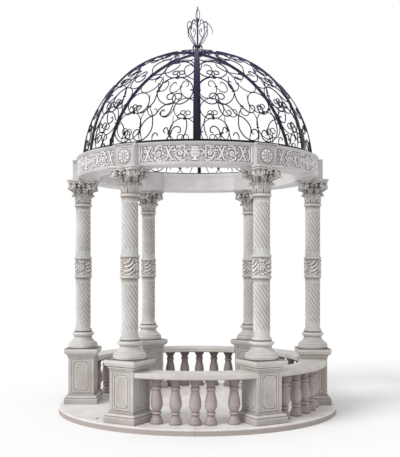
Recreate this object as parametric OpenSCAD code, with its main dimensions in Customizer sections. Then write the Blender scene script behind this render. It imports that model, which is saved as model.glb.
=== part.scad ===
// Hexagonal marble gazebo: a round slabbed floor, six columns on pedestals, balustraded
// benches in five bays, a carved ring frieze and a dome of wrought iron ribs and scrolls.
// Millimetres. The origin is the centre of the floor's underside, and +Z is up.
// Columns stand every 60 degrees from +X, and the open entrance bay is at 210 degrees.

/* [Floor] */
// Radius of the round floor
floor_r = 1785; // [1750:5:2200]
// Thickness of the floor slabs
floor_t = 70; // [40:5:150]
// Width of the joint between two floor slabs
slab_joint = 3; // [1:0.5:8]
// Rounding of the floor's upper edge
floor_edge = 12; // [4:1:30]
// Diameter of the drilled hole in the entrance slab
drain_d = 28; // [10:1:60]
// Distance of the drilled hole from the floor's rim
drain_inset = 165; // [90:5:220]
// Direction of the drilled hole in degrees
drain_angle = 225; // [218:1:228]

/* [Pedestals] */
// Distance of the column axes from the floor's rim
column_inset = 285; // [260:5:320]
// Width of a pedestal's square base
ped_base_w = 430; // [400:5:460]
// Height of the flat plinth of a pedestal
ped_plinth_h = 72; // [40:2:90]
// Height of the moulding above the plinth
ped_slope_h = 54; // [40:1:70]
// Width of a pedestal's square die
die_w = 330; // [300:5:360]
// Height of the die between its mouldings
die_h = 460; // [420:1:520]
// Width of the panel on each face of a die
panel_w = 246; // [180:2:260]
// Distance of the panel from the upper and lower end of its die
panel_end = 14; // [8:1:40]
// Depth of the grooves round the panel
panel_depth = 5; // [3:1:12]
// Width of each groove round the panel
panel_line = 9; // [5:1:14]
// Width of a pedestal's cap
ped_cap_w = 430; // [400:5:450]
// Height of a pedestal's cap with its coves
ped_cap_h = 124; // [110:2:150]

/* [Columns] */
// Height of the moulded base stone of a column
col_base_h = 212; // [180:2:260]
// Diameter of a column base at its foot
col_torus_d = 382; // [360:2:410]
// Diameter of a shaft between its flutes and bands
shaft_d = 196; // [180:2:220]
// Diameter of the rings at the foot, band and top of a shaft
shaft_ring_d = 232; // [224:1:250]
// Height of the lowest ring of a shaft
foot_ring_h = 38; // [24:1:60]
// Height of the plain stretch between the foot ring and the lower flutes
foot_plain_h = 76; // [40:1:110]
// Height of each other plain stretch beside the flutes
plain_h = 60; // [30:1:80]
// Height of the lower fluted stretch
lower_flute_h = 525; // [400:1:640]
// Height of each ring of the carved band
band_ring_h = 34; // [20:1:50]
// Height of the carved band between its rings
band_h = 205; // [140:1:260]
// Height of the upper fluted stretch
upper_flute_h = 533; // [400:1:660]
// Number of spiral flutes
flutes = 12; // [8:1:20]
// Depth of a spiral flute
flute_depth = 10; // [4:1:14]
// Turn of the flutes over the lower stretch in degrees
flute_turn = 230; // [120:5:300]

/* [Capitals] */
// Height of a capital with its abacus
capital_h = 305; // [260:5:340]
// Thickness of the abacus
abacus_t = 46; // [36:2:80]
// Width of the abacus across its flats
abacus_w = 372; // [330:2:390]
// Radius of a corner volute
volute_r = 38; // [26:1:44]
// Reach of the leaf tips beyond the bell
leaf_reach = 38; // [20:1:46]

/* [Frieze] */
// Height of the frieze ring
frieze_h = 255; // [220:5:300]
// Reach of the frieze ring inside the circle of the column axes
frieze_in = 220; // [180:5:260]
// Reach of the frieze ring outside the circle of the column axes
frieze_out = 50; // [35:5:70]
// Height of the plain border below and above the sunk panel
frieze_border = 36; // [24:2:60]
// Height of the lip along the top of the frieze
lip_h = 30; // [20:1:50]
// Overhang of the lip
lip_out = 15; // [8:1:20]
// Depth of the sunk frieze panel
frieze_sink = 12; // [6:1:20]
// Width of the block over each column
block_w = 280; // [240:5:300]
// Distance of a block's outer face beyond the frieze ring
block_out = 62; // [40:2:90]
// Diameter of the rosette on each block
rosette_d = 165; // [120:5:180]

/* [Balustrade] */
// Thickness of the bench rail
rail_t = 66; // [50:2:90]
// Width of the bench rail, towards the centre
rail_w = 334; // [300:2:350]
// Gap between the rail's top and the overhang of the pedestal caps
rail_gap = 10; // [4:1:20]
// Number of balusters in a bay
balusters = 5; // [3:1:6]
// Angle between two balusters in degrees
baluster_pitch = 8.4; // [7:0.1:8.8]
// Diameter of a baluster's foot
baluster_d = 144; // [120:2:160]
// Shift of the fourth front baluster out of its even place
stray_shift = 45; // [0:5:60]

/* [Dome] */
// Distance of the iron ring from the frieze ring's outer face
ring_inset = 50; // [20:5:80]
// Width of the iron ring
ring_w = 40; // [30:2:60]
// Height of the iron ring
ring_h = 35; // [25:1:50]
// Rise of the dome as a share of its radius at the ring
dome_share = 0.923; // [0.7:0.001:0.98]
// Width of a rib
rib_w = 50; // [36:2:60]
// Depth of a rib
rib_t = 20; // [12:1:30]
// Thickness of a scroll bar
scroll_bar = 12; // [10:1:16]
// Radius of the crown boss where the ribs meet
boss_r = 62; // [56:1:80]
// Height of the finial above the crown
finial_h = 613; // [500:1:700]

/* [Hidden] */
$fn = 64;
wide_fn = 240;

columns = 6;
bay = 360 / columns;
big = 4000;

// Colours
marble = [0.80, 0.79, 0.76];
shade_marble = [0.70, 0.65, 0.62];
bench_marble = [0.88, 0.87, 0.84];
iron = [0.16, 0.14, 0.24];

// Radii, each from the floor's rim inwards
column_circle_r = floor_r - column_inset;
drain_r = floor_r - drain_inset;
frieze_inner_r = column_circle_r - frieze_in;
frieze_outer_r = column_circle_r + frieze_out;
block_face_r = frieze_outer_r + block_out;
ring_r = frieze_outer_r - ring_inset;

// Levels, each from the piece below it
ped_h = ped_plinth_h + ped_slope_h + die_h + ped_cap_h;
ped_top = floor_t + ped_h;
shaft_foot = ped_top + col_base_h;
shaft_h = foot_ring_h + foot_plain_h + lower_flute_h + upper_flute_h + 3 * plain_h + 2 * band_ring_h + band_h
    + foot_ring_h;
capital_z = shaft_foot + shaft_h;
frieze_z = capital_z + capital_h;
frieze_top = frieze_z + frieze_h;
dome_z = frieze_top + ring_h;
die_top = floor_t + ped_plinth_h + ped_slope_h + die_h;
rail_top = die_top - rail_gap;
rail_z = rail_top - rail_t;
baluster_h = rail_z - floor_t;

// The dome's sphere passes through the top of the iron ring and the crown
dome_base_r = ring_r - ring_w / 2 + rib_t / 2;
dome_rise = dome_share * dome_base_r;
dome_r = (dome_base_r * dome_base_r + dome_rise * dome_rise) / (2 * dome_rise);
dome_cz = dome_z + dome_rise - dome_r;

module at_column(i) {
    rotate([0, 0, bay * i]) translate([column_circle_r, 0, 0]) children();
}

// Points of an elliptical arc from angle a0 to a1
function arc(cx, cz, rx, rz, a0, a1, n = 8) =
    [for (k = [0:n]) [cx + rx * cos(a0 + (a1 - a0) * k / n), cz + rz * sin(a0 + (a1 - a0) * k / n)]];

// A square block whose four sides follow one half outline, with mitred corners
module square_turned(half, reach) {
    outline = concat(half, [for (k = [len(half) - 1:-1:0]) [-half[k][0], half[k][1]]]);
    intersection_for (a = [0, 90])
        rotate([0, 0, a]) rotate([90, 0, 0])
            linear_extrude(height = 2 * reach, center = true) polygon(outline);
}

// Floor

module slab_joints() {
    for (i = [0:2])
        rotate([0, 0, bay * (i + 0.5)]) cube([2 * big, slab_joint, big], center = true);
}

module floor_slabs() {
    color(bench_marble) difference() {
        rotate_extrude($fn = wide_fn) polygon(concat([[0, 0], [floor_r, 0]],
            arc(floor_r - floor_edge, floor_t - floor_edge, floor_edge, floor_edge, 0, 90, 4),
            [[0, floor_t]]));
        slab_joints();
        rotate([0, 0, drain_angle]) translate([drain_r, 0, -1]) cylinder(d = drain_d, h = floor_t + 2);
    }
}

// Pedestals

// Outline of a pedestal's cap above the die, as shares of its overhang and its height: two small
// steps, an undercut and a rounded nosing
cap_shares = [[0, 0], [0.02, 0.06], [0.12, 0.10], [0.13, 0.19], [0.28, 0.21], [0.30, 0.32], [0.24, 0.34],
    [0.24, 0.37], [0.52, 0.39], [0.71, 0.45], [0.88, 0.58], [0.97, 0.70], [1.0, 0.80], [0.97, 0.91],
    [0.86, 1.0]];

function pedestal_half() = let (
        b = ped_base_w / 2, d = die_w / 2, c = ped_cap_w / 2,
        s0 = ped_plinth_h, s1 = s0 + ped_slope_h, k0 = s1 + die_h,
        step = (b - d) / 5)
    concat([[b, 0], [b, s0], [b - step, s0]],
        arc(b - 3 * step, s0 + ped_slope_h * 0.2, 2 * step, ped_slope_h * 0.45, 0, 90, 5),
        arc(b - 3 * step, s1 - ped_slope_h * 0.1, 1.2 * step, ped_slope_h * 0.25, 270, 180, 3),
        [[b - 4.2 * step, s1], [d, s1]],
        [for (p = cap_shares) [d + p[0] * (c - d), k0 + p[1] * ped_cap_h]]);

module panel_outline(w, h, notch) {
    difference() {
        square([w, h], center = true);
        for (x = [-1, 1], y = [-1, 1])
            translate([x * w / 2, y * h / 2]) circle(r = notch);
    }
}

// The panel: a square groove outside, and inside it a groove whose corners are notched
module panel_cut() {
    panel_h = die_h - 2 * panel_end;
    notch = panel_w / 10;
    inset = 6 * panel_line;
    linear_extrude(height = 2 * panel_depth, center = true) {
        difference() {
            square([panel_w, panel_h], center = true);
            square([panel_w - panel_line, panel_h - panel_line], center = true);
        }
        difference() {
            panel_outline(panel_w - inset, panel_h - inset, notch);
            panel_outline(panel_w - inset - 2 * panel_line, panel_h - inset - 2 * panel_line, notch);
        }
    }
}

module pedestal(i) {
    color(shade_marble) at_column(i) translate([0, 0, floor_t]) difference() {
        square_turned(pedestal_half(), ped_base_w);
        for (a = [0:90:270])
            rotate([0, 0, a]) translate([die_w / 2, 0, ped_plinth_h + ped_slope_h + die_h / 2])
                rotate([90, 0, 90]) panel_cut();
    }
}

// Columns

// Outline of a column base, as shares of its foot's radius and its height: a stepped torus,
// a long scotia and a rounded collar
base_shares = [[0.97, 0], [1.00, 0.05], [1.00, 0.20], [0.985, 0.24], [0.95, 0.26], [0.95, 0.31], [0.93, 0.35],
    [0.85, 0.37], [0.82, 0.40], [0.76, 0.47], [0.70, 0.55], [0.66, 0.62], [0.63, 0.68], [0.615, 0.73],
    [0.66, 0.76], [0.72, 0.80], [0.75, 0.84], [0.757, 0.875], [0.74, 0.91], [0.70, 0.945], [0.665, 0.965],
    [0.61, 0.98], [0.61, 1.00]];

function column_base_half() = concat([[0, 0]],
    [for (p = base_shares) [p[0] * col_torus_d / 2, p[1] * col_base_h]], [[0, col_base_h]]);

module column_bases() {
    color(marble) for (i = [0:columns - 1])
        at_column(i) translate([0, 0, ped_top]) rotate_extrude() polygon(column_base_half());
}

// Star outline of the flutes, a little inside the shaft's surface
function flute_outline() = [for (k = [0:2 * flutes - 1])
    let (a = 180 * k / flutes, r = shaft_d / 2 - 0.5 - (k % 2) * flute_depth) [r * cos(a), r * sin(a)]];

// The fluted skin round the shaft's core from z0 to z1, which enters the plain stretches by its bite
module fluted(z0, z1) {
    bite = 2;
    h = z1 - z0 + 2 * bite;
    translate([0, 0, z0 - bite])
        linear_extrude(height = h, twist = flute_turn * h / lower_flute_h, slices = 10, $fn = 0)
            polygon(flute_outline());
}

// A half-round ring
function ring_points(z, h) = arc(shaft_ring_d / 2 - h / 2, z + h / 2, h / 2, h / 2, -90, 90, 6);

module shaft(i) {
    r = shaft_d / 2;
    core = r - 2 * flute_depth;
    z1 = foot_ring_h + foot_plain_h;
    z2 = z1 + lower_flute_h;
    z3 = z2 + plain_h;
    z4 = z3 + band_ring_h + band_h + band_ring_h;
    z5 = z4 + plain_h;
    z6 = z5 + upper_flute_h;
    color(marble) at_column(i) translate([0, 0, shaft_foot]) {
        rotate_extrude() polygon(concat([[0, 0]], ring_points(0, foot_ring_h),
            [[r, foot_ring_h], [r, z1], [core, z1], [core, z2], [r, z2], [r, z3]],
            ring_points(z3, band_ring_h),
            [[r, z3 + band_ring_h], [r + 6, z3 + band_ring_h + 12], [r + 6, z4 - band_ring_h - 12],
             [r, z4 - band_ring_h]],
            ring_points(z4 - band_ring_h, band_ring_h),
            [[r, z4], [r, z5], [core, z5], [core, z6], [r, z6], [r, z6 + plain_h]],
            ring_points(z6 + plain_h, foot_ring_h), [[0, shaft_h]]));
        fluted(z1, z2);
        fluted(z5, z6);
    }
}

// Capitals

module abacus() {
    corner_cut = abacus_w * 0.09;
    side_r = abacus_w * 0.9;
    linear_extrude(height = abacus_t) difference() {
        square(abacus_w, center = true);
        for (a = [0:90:270]) {
            rotate(a) translate([abacus_w / 2 + side_r - abacus_w * 0.07, 0]) circle(r = side_r);
            rotate(a + 45) translate([abacus_w / sqrt(2) - corner_cut / 2, -abacus_w / 2])
                square(abacus_w);
        }
    }
}

// A leaf of width w between the heights z0 and z1, whose tip curls outwards: its side view
module leaf(base_r, z0, z1, reach, w) {
    h = z1 - z0;
    tip = base_r + reach;
    rotate([90, 0, 0]) translate([0, z0, 0]) linear_extrude(height = w, center = true)
        polygon([[base_r - 14, 0], [base_r + 3, 0], [base_r + 6, 0.35 * h], [base_r + 0.45 * reach, 0.7 * h],
            [tip - 3, 0.84 * h], [tip + 4, 0.79 * h], [tip + 9, 0.86 * h], [tip + 7, 0.95 * h],
            [tip - 4, h], [base_r + 0.4 * reach, 0.95 * h], [base_r - 14, 0.8 * h]]);
}

module capital(i) {
    bell_h = capital_h - abacus_t;
    bell_r = shaft_d / 2;
    color(marble) at_column(i) translate([0, 0, capital_z]) {
        rotate_extrude() polygon(concat([[0, 0], [bell_r, 0]],
            arc(bell_r + leaf_reach, 0, leaf_reach, bell_h - 12, 180, 100, 8),
            [[bell_r + leaf_reach, bell_h], [0, bell_h]]));
        translate([0, 0, bell_h]) abacus();
        for (a = [0:45:315]) {
            rotate([0, 0, a]) leaf(bell_r, 2, bell_h * 0.45, leaf_reach, 62);
            rotate([0, 0, a + 22.5]) leaf(bell_r + 3, bell_h * 0.24, bell_h * 0.76, leaf_reach, 52);
        }
        volute_at = abacus_w * 0.545;
        for (a = [45:90:315])
            rotate([0, 0, a]) translate([volute_at, 0, bell_h - volute_r - 1]) {
                rotate([90, 0, 0]) cylinder(r = volute_r, h = 46, center = true);
                rotate([90, 0, 0]) cylinder(r = volute_r * 0.35, h = 58, center = true);
                translate([bell_r - volute_at, -15, -volute_r * 0.3]) cube([volute_at - bell_r, 30, volute_r]);
            }
    }
}

// Frieze

// The space that the piers at both ends of a bay take, each of width w
module pier_cuts(w) {
    for (a = [0, bay])
        rotate([0, 0, a]) translate([0, -w / 2, -1]) cube([big, w, big]);
}

module frieze(i) {
    r0 = frieze_inner_r;
    r1 = frieze_outer_r;
    panel_top = frieze_h - lip_h - 6;
    color(marble) rotate([0, 0, bay * i]) translate([0, 0, frieze_z]) difference() {
        rotate_extrude(angle = bay, $fn = wide_fn) polygon([[r0, 0], [r1, 0], [r1, frieze_border],
            [r1 - frieze_sink, frieze_border + 4], [r1 - frieze_sink, panel_top - 4],
            [r1, panel_top], [r1, frieze_h - lip_h], [r1 + lip_out, frieze_h - lip_h / 2],
            [r1 + lip_out, frieze_h], [r0, frieze_h]]);
        pier_cuts(block_w);
    }
}

module rosette() {
    rotate([0, 90, 0]) {
        cylinder(d = rosette_d, h = 10, center = true);
        for (a = [0:45:315])
            rotate([0, 0, a]) translate([rosette_d * 0.28, 0, 0])
                cylinder(d = rosette_d * 0.22, h = 32, center = true);
        cylinder(d = rosette_d * 0.26, h = 44, center = true);
    }
}

module frieze_blocks() {
    r0 = frieze_inner_r - 8;
    color(marble) for (i = [0:columns - 1]) rotate([0, 0, bay * i]) translate([0, 0, frieze_z]) {
        translate([r0, -block_w / 2, 0]) cube([block_face_r - r0, block_w, frieze_h]);
        translate([frieze_outer_r + lip_out + 5, -block_w / 2 - lip_out, frieze_h - lip_h])
            cube([block_face_r - frieze_outer_r - 5, block_w + 2 * lip_out, lip_h]);
        translate([block_face_r, 0, (frieze_h - lip_h) / 2]) rosette();
    }
}

// Balustrade

module rail(i) {
    r1 = column_circle_r + rail_w / 2 - 7;
    r0 = r1 - rail_w;
    n = rail_t * 0.28;
    color(bench_marble) rotate([0, 0, bay * i]) translate([0, 0, rail_z]) difference() {
        rotate_extrude(angle = bay, $fn = wide_fn) polygon(concat([[r0 + n, 0], [r1 - n, 0]],
            arc(r1 - n, rail_t - n, n, n, 0, 90, 5), arc(r0 + n, rail_t - n, n, n, 90, 180, 5)));
        pier_cuts(die_w);
    }
}

// Turned outline of a baluster, as shares of its foot's radius and its height
baluster_shares = [[1.00, 0], [1.00, 0.065], [0.97, 0.08], [0.86, 0.105], [0.70, 0.15], [0.585, 0.19],
    [0.56, 0.21], [0.57, 0.225], [0.68, 0.232], [0.70, 0.25], [0.68, 0.272], [0.59, 0.28], [0.585, 0.295],
    [0.70, 0.325], [0.84, 0.37], [0.93, 0.42], [0.955, 0.46], [0.93, 0.52], [0.85, 0.59], [0.75, 0.65],
    [0.67, 0.70], [0.635, 0.74], [0.635, 0.76], [0.75, 0.768], [0.775, 0.79], [0.765, 0.815], [0.62, 0.825],
    [0.60, 0.86], [0.62, 0.90], [0.72, 0.94], [0.88, 0.97], [0.97, 0.98], [0.97, 1.00]];

module baluster() {
    rotate_extrude() polygon(concat([[0, 0]],
        [for (p = baluster_shares) [p[0] * baluster_d / 2, p[1] * baluster_h]], [[0, baluster_h]]));
}

module baluster_row(i) {
    stray = 4;
    color(shade_marble) for (k = [1:balusters]) {
        shift = (i == 4 && k == stray) ? -asin(stray_shift / column_circle_r) : 0;
        angle = bay * (i + 0.5) + (k - (balusters + 1) / 2) * baluster_pitch + shift;
        rotate([0, 0, angle]) translate([column_circle_r, 0, floor_t]) baluster();
    }
}

// Dome

module dome_ring() {
    color(iron) translate([0, 0, frieze_top]) rotate_extrude($fn = wide_fn)
        translate([ring_r - ring_w, 0]) square([ring_w, ring_h]);
}

module dome_ribs() {
    color(iron) for (i = [0:columns - 1]) rotate([0, 0, bay * (i + 0.5)]) difference() {
        translate([0, 0, dome_cz]) rotate([90, 0, 0]) rotate_extrude(angle = 90, $fn = wide_fn)
            translate([dome_r - rib_t, -rib_w / 2]) square([rib_t, rib_w]);
        translate([-big / 2, -big / 2, dome_z - big]) cube(big);
        cylinder(r = boss_r, h = 2 * big);
    }
}

// The scrolls of half a panel, each a line of (angle from the panel's middle, elevation) in
// degrees on the dome's sphere, for a ring that lies at the elevation ring_rise
ring_rise = 4.6;
scroll_lines = [
    [[7.7, 20.7], [9.8, 16.4], [10.4, 11.2], [9.3, 8], [6.8, 5.6], [3.7, 4.9], [1.5, 6], [0.8, 8], [1.9, 9.8],
        [3.6, 9.8]],
    [[19.6, 22], [15.9, 21], [13.2, 19.1], [11.2, 16.4], [8.2, 15.2], [5.8, 13], [4.5, 9.8], [5.8, 4.6]],
    [[17, 4.6], [19, 6.7], [19.6, 8.6], [20.7, 10], [22.1, 10.3], [23.4, 9.4], [23.3, 7.8]],
    [[20.4, 4.6], [18.9, 6.3], [18, 8.2], [17.5, 9.8], [16.3, 9.6], [15.9, 8.3]],
    [[10.6, 4.6], [10.7, 6.6], [11.8, 7.8], [13, 7.3]],
    [[19.6, 22], [19, 19.4], [18.2, 17.2], [16.7, 15.5], [14.8, 15.4], [13.5, 16.6], [14.4, 18.2]],
    [[24.5, 4.6], [25.8, 8], [26.2, 11.5], [25.4, 14.6], [23.4, 16.2], [21.8, 15]],
    [[11.4, 38], [12, 33.1], [10.6, 28.5], [9.7, 23.4], [7.7, 20.7], [5, 18.2], [2.7, 18], [0.9, 19.6],
        [1.3, 21.4], [3, 21.6]],
    [[14, 49], [11.2, 44.5], [10.4, 41.3], [8.4, 38], [5.4, 36.4], [2.5, 37.2], [1.6, 39.4], [3, 41]],
    [[29, 52.5], [25.5, 50], [21, 49.4], [17, 50.6], [13.5, 53.5], [12, 57.5], [13.5, 61], [17.5, 61.5],
        [19.5, 58.8]],
    [[12.2, 56.5], [9, 53.5], [5, 52.5], [2, 54.5], [1.8, 58], [4.5, 60]],
    [[29, 60.5], [25, 62.8], [19, 64.5], [13, 66.4], [8, 70], [7, 74], [14, 76]],
    [[29, 68.5], [25, 73], [20, 77.5], [11, 80], [0, 81]]];

// The round C scrolls of half a panel: angle, elevation and radius in degrees
round_scrolls = [[19.6, 28.5, 8.1], [20, 42.6, 6.65]];

// Where collars tie the scrolls together: angle and elevation
collars = [[7.7, 20.7], [19.8, 36], [10.6, 28.5], [19.6, 21.8], [18.4, 7.4], [28.2, 28.5], [20.4, 49.3],
    [12.2, 57]];

// One side of a C scroll of radius 1, from its top down to the curl inside its foot
c_half = let (open = -62, curl = 0.38, foot = 0.24) concat(
    arc(0, 0, 1, 1, 90, open, 5),
    [for (k = [1:3]) let (a = open - 56 * k)
        [(1 - curl) * cos(open) + curl * cos(a), (1 - curl) * sin(open) + curl * sin(a)]],
    [for (k = [1:2]) let (a = open - 168 - 75 * k, c = open - 168)
        [(1 - curl) * cos(open) + (curl - foot) * cos(c) + foot * cos(a),
         (1 - curl) * sin(open) + (curl - foot) * sin(c) + foot * sin(a)]]);

// The whole C scroll as a line of angles and elevations
c_line = concat([for (k = [len(c_half) - 1:-1:1]) [-c_half[k][0], c_half[k][1]]], c_half);
function round_line(s) = [for (p = c_line) [s[0] + s[2] * p[0] / cos(s[1]), s[1] + s[2] * p[1]]];

// Direction from the dome's centre to an angle and an elevation of the pattern, which is
// stretched so that the elevation ring_rise comes to the ring's own
function unit(v) = v / norm(v);
scroll_in = dome_r - rib_t + 2;
low_rise = asin((dome_z - dome_cz) / (scroll_in + scroll_bar / 2));
function direction(a, rise) = let (e = low_rise + (rise - ring_rise) * (90 - low_rise) / (90 - ring_rise))
    [cos(e) * cos(a), cos(e) * sin(a), sin(e)];

// A bar of three sides and thickness t carried along a path, with its broad side outwards
module bar(path, outs, t) {
    n = len(path);
    side = [for (k = [0:n - 1]) let (along = path[min(k + 1, n - 1)] - path[max(k - 1, 0)])
        unit(cross(outs[k], along)) * t * 0.55];
    points = [for (k = [0:n - 1]) each [path[k], path[k] + outs[k] * t - side[k],
        path[k] + outs[k] * t + side[k]]];
    walls = [for (k = [0:n - 2], j = [0:2]) let (a = 3 * k + j, b = 3 * k + (j + 1) % 3)
        [a, b, b + 3, a + 3]];
    polyhedron(points, concat([[2, 1, 0]], walls, [[3 * n - 3, 3 * n - 2, 3 * n - 1]]));
}

// A bar on the dome's sphere along a line of angles and elevations
module scroll(line, t = scroll_bar) {
    outs = [for (p = line) direction(p[0], p[1])];
    bar([for (d = outs) d * scroll_in], outs, t);
}

module half_panel(hand) {
    for (line = scroll_lines) scroll([for (p = line) [hand * p[0], p[1]]]);
    for (s = round_scrolls) scroll([for (p = round_line(s)) [hand * p[0], p[1]]]);
    for (c = collars) let (reach = 0.8 / cos(c[1]))
        scroll([[hand * c[0] - reach, c[1]], [hand * c[0] + reach, c[1]]], scroll_bar + 4);
}

module scroll_panel(i) {
    color(iron) rotate([0, 0, bay * i]) difference() {
        translate([0, 0, dome_cz]) {
            half_panel(1);
            half_panel(-1);
        }
        rotate([0, 0, bay / 2]) translate([0, -rib_w / 2, 0]) cube([big, big, 2 * big]);
        rotate([0, 0, -bay / 2]) translate([0, rib_w / 2 - big, 0]) cube([big, big, 2 * big]);
        translate([0, -big / 2, dome_z - big]) cube(big);
    }
}

// Finial: scrolls round a stem. Each line is (distance from the axis, height above the crown)
// as shares of the finial's height, and comes with its count, first angle and thickness
finial_lines = [
    [[[0, 0.10], [0.075, 0.28], [0.14, 0.42], [0.15, 0.54], [0.125, 0.66], [0.075, 0.71]], 4, 0, 12],
    [[[0, 0.08], [0.10, 0.20], [0.23, 0.36], [0.30, 0.51], [0.26, 0.61]], 4, 45, 11],
    [[[0, 0.56], [0.09, 0.65], [0.19, 0.665], [0.28, 0.58], [0.325, 0.42]], 3, 10, 10],
    [[[0, 0.64], [0.045, 0.76], [0.03, 0.90], [-0.01, 1.0]], 3, 20, 10]];

module finial() {
    crown = dome_cz + dome_r;
    stem_h = 0.74 * finial_h;
    color(iron) {
        translate([0, 0, crown - rib_t - 30]) cylinder(r = boss_r, h = rib_t + 40);
        translate([0, 0, crown]) cylinder(r1 = boss_r * 0.6, r2 = 14, h = 60);
        translate([0, 0, crown]) cylinder(r = 10, h = stem_h);
        for (f = finial_lines, k = [0:f[1] - 1])
            rotate([0, 0, f[2] + 360 * k / f[1]])
                bar([for (p = f[0]) [p[0] * finial_h, -f[3] / 2, crown + p[1] * finial_h]],
                    [for (p = f[0]) [0, 1, 0]], f[3]);
    }
}

floor_slabs();
for (i = [0:columns - 1]) pedestal(i);
column_bases();
for (i = [0:columns - 1]) shaft(i);
for (i = [0:columns - 1]) capital(i);
frieze_blocks();
for (i = [0:columns - 1]) frieze(i);
rail(0);  // rail_right_back
rail(1);  // rail_back
rail(2);  // rail_left_back
rail(4);  // rail_front
rail(5);  // rail_right_front
baluster_row(0);  // balusters_right_back
baluster_row(1);  // balusters_back
baluster_row(2);  // balusters_left_back
baluster_row(4);  // balusters_front
baluster_row(5);  // balusters_right_front
dome_ring();
dome_ribs();
for (i = [0:columns - 1]) scroll_panel(i);
finial();
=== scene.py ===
"""Looks of a round marble gazebo with an open iron dome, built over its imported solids.

Lengths are in metres and the frame is the part's own: the origin is the centre of the floor's
underside, +Z is up, and columns stand every 60 degrees from +X. Each part is made once, at the
first column or in the first bay, and its copies are turned to their places.
"""
import logging
import math
from dataclasses import dataclass, field
from enum import Enum

import bpy
import numpy as np
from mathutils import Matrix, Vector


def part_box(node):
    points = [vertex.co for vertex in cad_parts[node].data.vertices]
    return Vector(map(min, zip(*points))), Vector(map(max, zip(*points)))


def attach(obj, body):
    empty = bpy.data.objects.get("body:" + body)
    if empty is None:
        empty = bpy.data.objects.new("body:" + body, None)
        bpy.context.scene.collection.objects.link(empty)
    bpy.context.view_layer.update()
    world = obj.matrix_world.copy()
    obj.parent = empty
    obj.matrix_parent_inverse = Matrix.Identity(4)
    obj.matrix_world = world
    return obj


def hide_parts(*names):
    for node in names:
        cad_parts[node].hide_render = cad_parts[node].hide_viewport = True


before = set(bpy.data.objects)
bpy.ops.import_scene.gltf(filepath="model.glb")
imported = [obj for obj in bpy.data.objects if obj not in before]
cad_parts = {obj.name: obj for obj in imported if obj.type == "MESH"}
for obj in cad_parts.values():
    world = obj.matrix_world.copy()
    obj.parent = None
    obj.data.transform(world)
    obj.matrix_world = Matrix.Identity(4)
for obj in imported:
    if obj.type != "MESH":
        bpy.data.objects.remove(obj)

Array = np.ndarray
Colour = tuple[float, float, float]
Point = tuple[float, float]
log = logging.getLogger("gazebo")
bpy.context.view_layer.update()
PHOTO_SIZE = (400, 457)
COLUMNS = 6
BAY = 2 * math.pi / COLUMNS
ALL_ROUND = [i * BAY for i in range(COLUMNS)]
PALEST, DEEPEST = -0.6, 1.0
GOLDEN = 137.5
CUT = 0.001


class Closing(Enum):
    """How many end rows of a grid are closed with a fan round their middle."""

    OPEN = 0
    FIRST = 1
    FANS = 2


# Small helpers for arrays


def ease(x: Array) -> Array:
    """Smooth step of x from 0 to 1: x squared times three minus two x."""
    x = np.clip(x, 0.0, 1.0)
    return x * x * (3.0 - 2.0 * x)


def near(x: Array, at: float, width: float) -> Array:
    """Bell curve that is 1 at the place: exp(-((x - at) / width) squared)."""
    return np.exp(-((x - at) / width) ** 2)


def half_round(x: Array) -> Array:
    """The root of one minus x squared, and 0 where x lies beyond 1."""
    return np.sqrt(np.clip(1 - x * x, 0, 1))


def unit(v: Array) -> Array:
    """Vectors of length one along the last axis."""
    return v / np.maximum(np.linalg.norm(v, axis=-1, keepdims=True), 1e-12)


def stacked(*parts: Array | float) -> Array:
    """Points whose coordinates are the parts, spread to one shape."""
    return np.stack(np.broadcast_arrays(*parts), axis=-1)


def turned(points: Array, angle: float) -> Array:
    """Points turned about the vertical axis by an angle in radians."""
    c, s = math.cos(angle), math.sin(angle)
    return points @ np.array([[c, s, 0.0], [-s, c, 0.0], [0.0, 0.0, 1.0]])


def swept(section: Array, angle: Array, foot: float) -> Array:
    """Points (r cos a, r sin a, foot + z) of a section of (radius r, height z) at the angles a."""
    r, z = section[..., 0], section[..., 1]
    return stacked(r * np.cos(angle), r * np.sin(angle), foot + z)


def across_bay(r: Array, t: Array, width: float) -> tuple[Array, Array]:
    """Angles over the first bay, between the flat sides of what stands at its two columns.

    Args:
        r: Radii.
        t: Places from 0 at the first side to 1 at the second.
        width: Width of what stands at the columns.

    Returns:
        The angles, and the length from each point to the nearer side, as an angle.
    """
    start = np.arcsin((width / 2 - CUT) / r)
    span = BAY - 2 * start
    return start + t * span, np.minimum(t, 1 - t) * span


def arc(cx: float, cz: float, rx: float, rz: float, a0: float, a1: float, n: int) -> Array:
    """Points of an elliptical arc, each the centre plus (rx cos a, rz sin a).

    Args:
        cx, cz: The centre.
        rx, rz: The two radii.
        a0, a1: First and last angle in degrees.
        n: Number of steps.
    """
    a = np.radians(np.linspace(a0, a1, n + 1))
    return stacked(cx + rx * np.cos(a), cz + rz * np.sin(a))


def softened(outline: Array | list, radius: float, steps: int = 3) -> Array:
    """Rounds the corners of an open outline.

    Each corner p becomes a short quadratic curve between the points at the given radius before
    and after it, with p as its control point. The radius is at most 45% of a side.

    Args:
        outline: n x 2.
        radius: Length that a corner takes of each side.
        steps: Steps of each short curve.
    """
    points = np.asarray(outline, float)
    points = points[np.append(True, np.linalg.norm(np.diff(points, axis=0), axis=1) > 1e-7)]
    corner = points[1:-1]
    ends = []
    for other in (points[:-2], points[2:]):
        length = np.linalg.norm(other - corner, axis=1, keepdims=True)
        ends.append((corner + (other - corner) / length * np.minimum(radius, 0.45 * length))[:, None])
    t = np.linspace(0, 1, steps + 1)[None, :, None]
    curve = (1 - t) ** 2 * ends[0] + 2 * t * (1 - t) * corner[:, None] + t ** 2 * ends[1]
    return np.concatenate([points[:1], curve.reshape(-1, 2), points[-1:]])


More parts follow.
